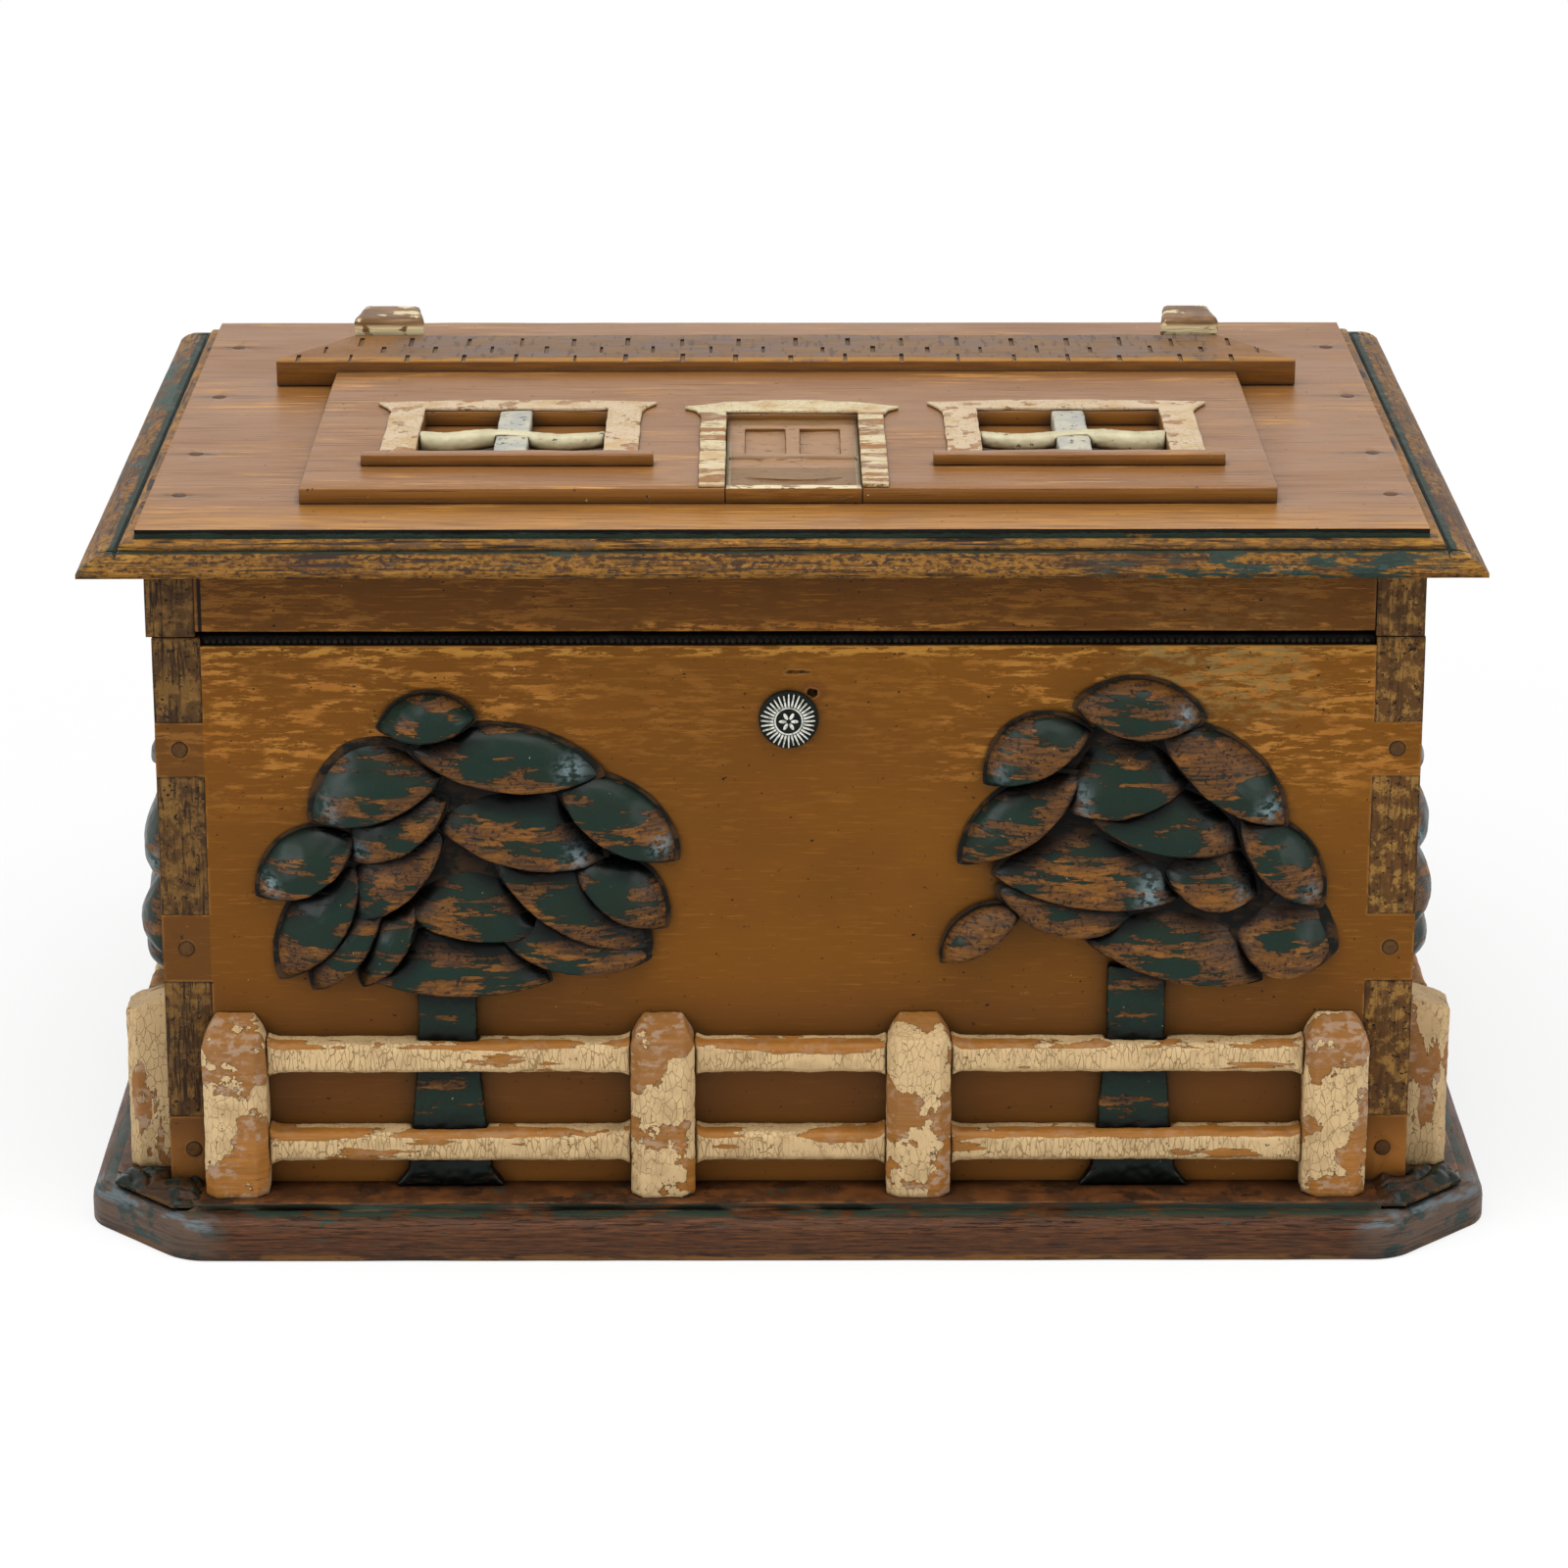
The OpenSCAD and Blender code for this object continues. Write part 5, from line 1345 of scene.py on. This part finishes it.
class PAINTEDBOX_OT_stud(bpy.types.Operator):
    """Sunburst stud on the front: a dark dome with raised bright rays"""
    bl_idname = "painted_box.stud"
    bl_label = "Stud"

    def execute(self, context):
        low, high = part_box("front_stud")
        radius = (high.x - low.x) / 2
        on_front = Matrix.Translation(by_stud(0, 0)) @ Matrix.Rotation(math.pi / 2, 4, "X")
        dome = board("front_stud", "dome", 0.002, ease=0.0002, relief=0.0001)
        place_piece(dome, "box", "stud_metal", "stud_dark", "front_stud")
        # As shares of the dome's radius: the rays' start, length and width, the petals' place, length
        # and width, and the ring's radius and thickness
        ray_start, ray_long, ray_wide = 0.5, 0.42, 0.068
        petal_out, petal_long, petal_wide = 0.2, 0.13, 0.06
        ring_out, ring_thick = 0.46, 0.028
        chance = random.Random(4)
        parts = []

        def stand(obj, turn, out, height, slope=0.0):
            """Stands a piece on the stud's face, turned round its middle and so far out from it."""
            obj.data.transform(
                on_front @ Matrix.Rotation(turn, 4, "Z") @ Matrix.Translation((out, 0, height))
                @ Matrix.Rotation(slope, 4, "Y"))
            parts.append(obj)

        count = sizes().ray_count
        for number in range(count):
            long = radius * (ray_long + chance.uniform(-0.06, 0.03))
            ray = primitive("cube", size=1.0)
            ray.data.transform(Matrix.Diagonal((long, radius * ray_wide, 0.0009, 1)))
            for vertex in ray.data.vertices:
                if vertex.co.x > 0:
                    vertex.co.y *= 0.55
            modify(ray, "BEVEL", width=0.00008, segments=2)
            out = radius * ray_start + long / 2
            stand(ray, 2 * math.pi * number / count, out, 0.0021, math.radians(14))
        petals = 6
        for number in range(petals):
            petal = primitive("uv_sphere", segments=16, ring_count=8, radius=1.0)
            petal.data.transform(Matrix.Diagonal((radius * petal_long, radius * petal_wide, 0.0003, 1)))
            stand(petal, 2 * math.pi * number / petals, radius * petal_out, 0.0027)
        ring = primitive("torus", major_radius=radius * ring_out, minor_radius=radius * ring_thick,
                         major_segments=48, minor_segments=10)
        stand(ring, 0.0, 0.0, 0.0024)
        rays = joined(parts, "front_stud_rays")
        soft_shade(rays)
        place_piece(rays, "box", "stud_metal", "stud_light")
        return {"FINISHED"}


class PAINTEDBOX_OT_lining(bpy.types.Operator):
    """Cloth covered lining boards, with a beaded edge on the front one"""
    bl_idname = "painted_box.lining"
    bl_label = "Lining"

    def execute(self, context):
        for node in ("lining_floor", "lining_front", "lining_back", "lining_left", "lining_right"):
            obj = board(node, "covered", 0.008, ease=0.0005, relief=0.0004)
            place_piece(obj, "box", "black_cloth", "cloth", node)
        obj = board("lid_lining", "covered", 0.008, ease=0.0004, relief=0.0004)
        place_piece(obj, "lid", "black_cloth", "cloth", "lid_lining")
        place_piece(beaded_edge(), "box", "black_cloth", "thread")
        return {"FINISHED"}


def beaded_edge():
    """A row of small round stitches along the front lip of the lining."""
    low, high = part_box("lining_front")
    pitch = sizes().bead_pitch
    first = primitive("uv_sphere", segments=8, ring_count=5, radius=pitch * 0.42)
    beads = []
    for number in range(1, int((high.x - low.x) / pitch)):
        bead = linked("bead", first.data.copy())
        bead.data.transform(Matrix.Translation((low.x + pitch * number, low.y, high.z - 0.0012)))
        beads.append(bead)
    bpy.data.objects.remove(first)
    edge = joined(beads, "lining_edge_stitches")
    soft_shade(edge, 180)
    return edge


class PAINTEDBOX_OT_fixings(bpy.types.Operator):
    """Pegs, nails, hinges, pins and screws"""
    bl_idname = "painted_box.fixings"
    bl_label = "Fixings"

    def execute(self, context):
        iron = ("base_nails", "hinge_box_leaves", "hinge_pins", "hinge_box_screws",
                "lid_nails", "hinge_lid_leaves", "hinge_lid_screws")
        for node in ("corner_pegs", *iron):
            obj = copied(node, node + "_eased")
            modify(obj, "BEVEL", width=0.00015, segments=2, limit_method="ANGLE",
                   angle_limit=math.radians(40))
            soft_shade(obj)
            slot, paint = ("dark_iron", "iron") if node in iron else ("peg_wood", "peg")
            place_piece(obj, "lid" if "lid" in node else "box", slot, paint, node)
        return {"FINISHED"}


# Stage

LENS = 122.24
PITCH = math.radians(17.97)
YAW = math.radians(0.22)
DISTANCE = 1.384
TARGET = Vector((-0.0007, 0.0, 0.0802))
# Soft boxes: name, place, width, depth, power and colour
LAMPS = (
    ("top_soft_box", (0.0, -0.35, 1.35), 1.3, 1.0, 16.0, (1.0, 1.0, 1.0)),
    ("left_soft_box", (-1.3, -0.9, 0.8), 0.7, 0.9, 9.0, (0.93, 0.97, 1.0)),
    ("right_soft_box", (1.3, -0.9, 0.7), 0.7, 0.9, 6.0, (0.95, 0.98, 1.0)),
)


def shown(p):
    """1 for what the camera sees, directly, in a reflection or through glass."""
    seen = p.add("LightPath")
    return seen.part("Is Camera Ray") | seen.part("Is Glossy Ray") | seen.part("Is Transmission Ray")


class PAINTEDBOX_OT_stage(bpy.types.Operator):
    """Pale floor, soft lights and the camera"""
    bl_idname = "painted_box.stage"
    bl_label = "Stage"

    def execute(self, context):
        scene = context.scene
        scene.view_settings.view_transform = "Standard"
        camera = linked("camera", bpy.data.cameras.new("camera"))
        camera.data.sensor_width = 36.0
        camera.data.lens = LENS
        level = math.cos(PITCH)
        forward = Vector((math.sin(YAW) * level, math.cos(YAW) * level, -math.sin(PITCH)))
        camera.location = TARGET - forward * DISTANCE
        camera.rotation_euler = (math.pi / 2 - PITCH, 0, -YAW)
        scene.camera = camera

        # To the camera the floor is white, with a share of matt paint near the box to show its shadow
        floor = settle(primitive("plane", size=12.0, location=(0, 2.0, -0.0002)), "floor")
        p = new_paint("pale_floor")
        away = p.add("VectorMath", [p.add("TexCoord").part("Object")], operation="LENGTH").part("Value")
        glowing = p.add("MapRange", [away, 0.16, 0.5, 0.7, 1.0])
        matt = p.add("BsdfDiffuse", {"Color": "#f2f2f2"})
        glow = p.add("Emission", {"Color": "#ffffff", "Strength": 1.0})
        both = p.add("MixShader", [shown(p) * glowing, matt, glow])
        p.add("OutputMaterial", {"Surface": both})
        floor.data.materials.append(p.block)

        scene.world = bpy.data.worlds.new("studio")
        p = Paint(scene.world)
        strength = p.levels(0.45, (shown(p), 1.0))
        sky = p.add("Background", {"Color": "#ffffff", "Strength": strength})
        p.add("OutputWorld", {"Surface": sky})

        aim = Vector((0, 0, 0.08))
        for name, place, width, depth, power, tone in LAMPS:
            lamp = linked(name, bpy.data.lights.new(name, "AREA"))
            lamp.data.shape = "RECTANGLE"
            lamp.data.size = width
            lamp.data.size_y = depth
            lamp.data.energy = power
            lamp.data.color = tone
            lamp.location = place
            lamp.rotation_euler = (aim - Vector(place)).to_track_quat("-Z", "Y").to_euler()
        return {"FINISHED"}


OPERATORS = (
    PAINTEDBOX_OT_stage, PAINTEDBOX_OT_carcass, PAINTEDBOX_OT_base, PAINTEDBOX_OT_lid,
    PAINTEDBOX_OT_cottage, PAINTEDBOX_OT_windows, PAINTEDBOX_OT_door, PAINTEDBOX_OT_fence,
    PAINTEDBOX_OT_trees, PAINTEDBOX_OT_stud, PAINTEDBOX_OT_lining, PAINTEDBOX_OT_fixings,
)


class PAINTEDBOX_PT_panel(bpy.types.Panel):
    """Lists the pieces of the painted box"""
    bl_idname = "PAINTEDBOX_PT_panel"
    bl_label = "Painted box"
    bl_space_type = "VIEW_3D"
    bl_region_type = "UI"
    bl_category = "Painted box"

    def draw(self, context):
        for operator in OPERATORS:
            self.layout.operator(operator.bl_idname)
        for group in (sizes(), colours()):
            for name in group.bl_rna.properties.keys():
                if name not in ("rna_type", "name"):
                    self.layout.prop(group, name)


CLASSES = (PaintedBoxSizes, PaintedBoxColours, *OPERATORS, PAINTEDBOX_PT_panel)


def register():
    for kind in CLASSES:
        bpy.utils.register_class(kind)
    bpy.types.Scene.painted_box_sizes = PointerProperty(type=PaintedBoxSizes)
    bpy.types.Scene.painted_box_colours = PointerProperty(type=PaintedBoxColours)


def unregister():
    del bpy.types.Scene.painted_box_colours
    del bpy.types.Scene.painted_box_sizes
    for kind in reversed(CLASSES):
        bpy.utils.unregister_class(kind)


def main():
    register()
    for operator in OPERATORS:
        getattr(bpy.ops.painted_box, operator.bl_idname.split(".")[1])()


if __name__ == "__main__":
    main()
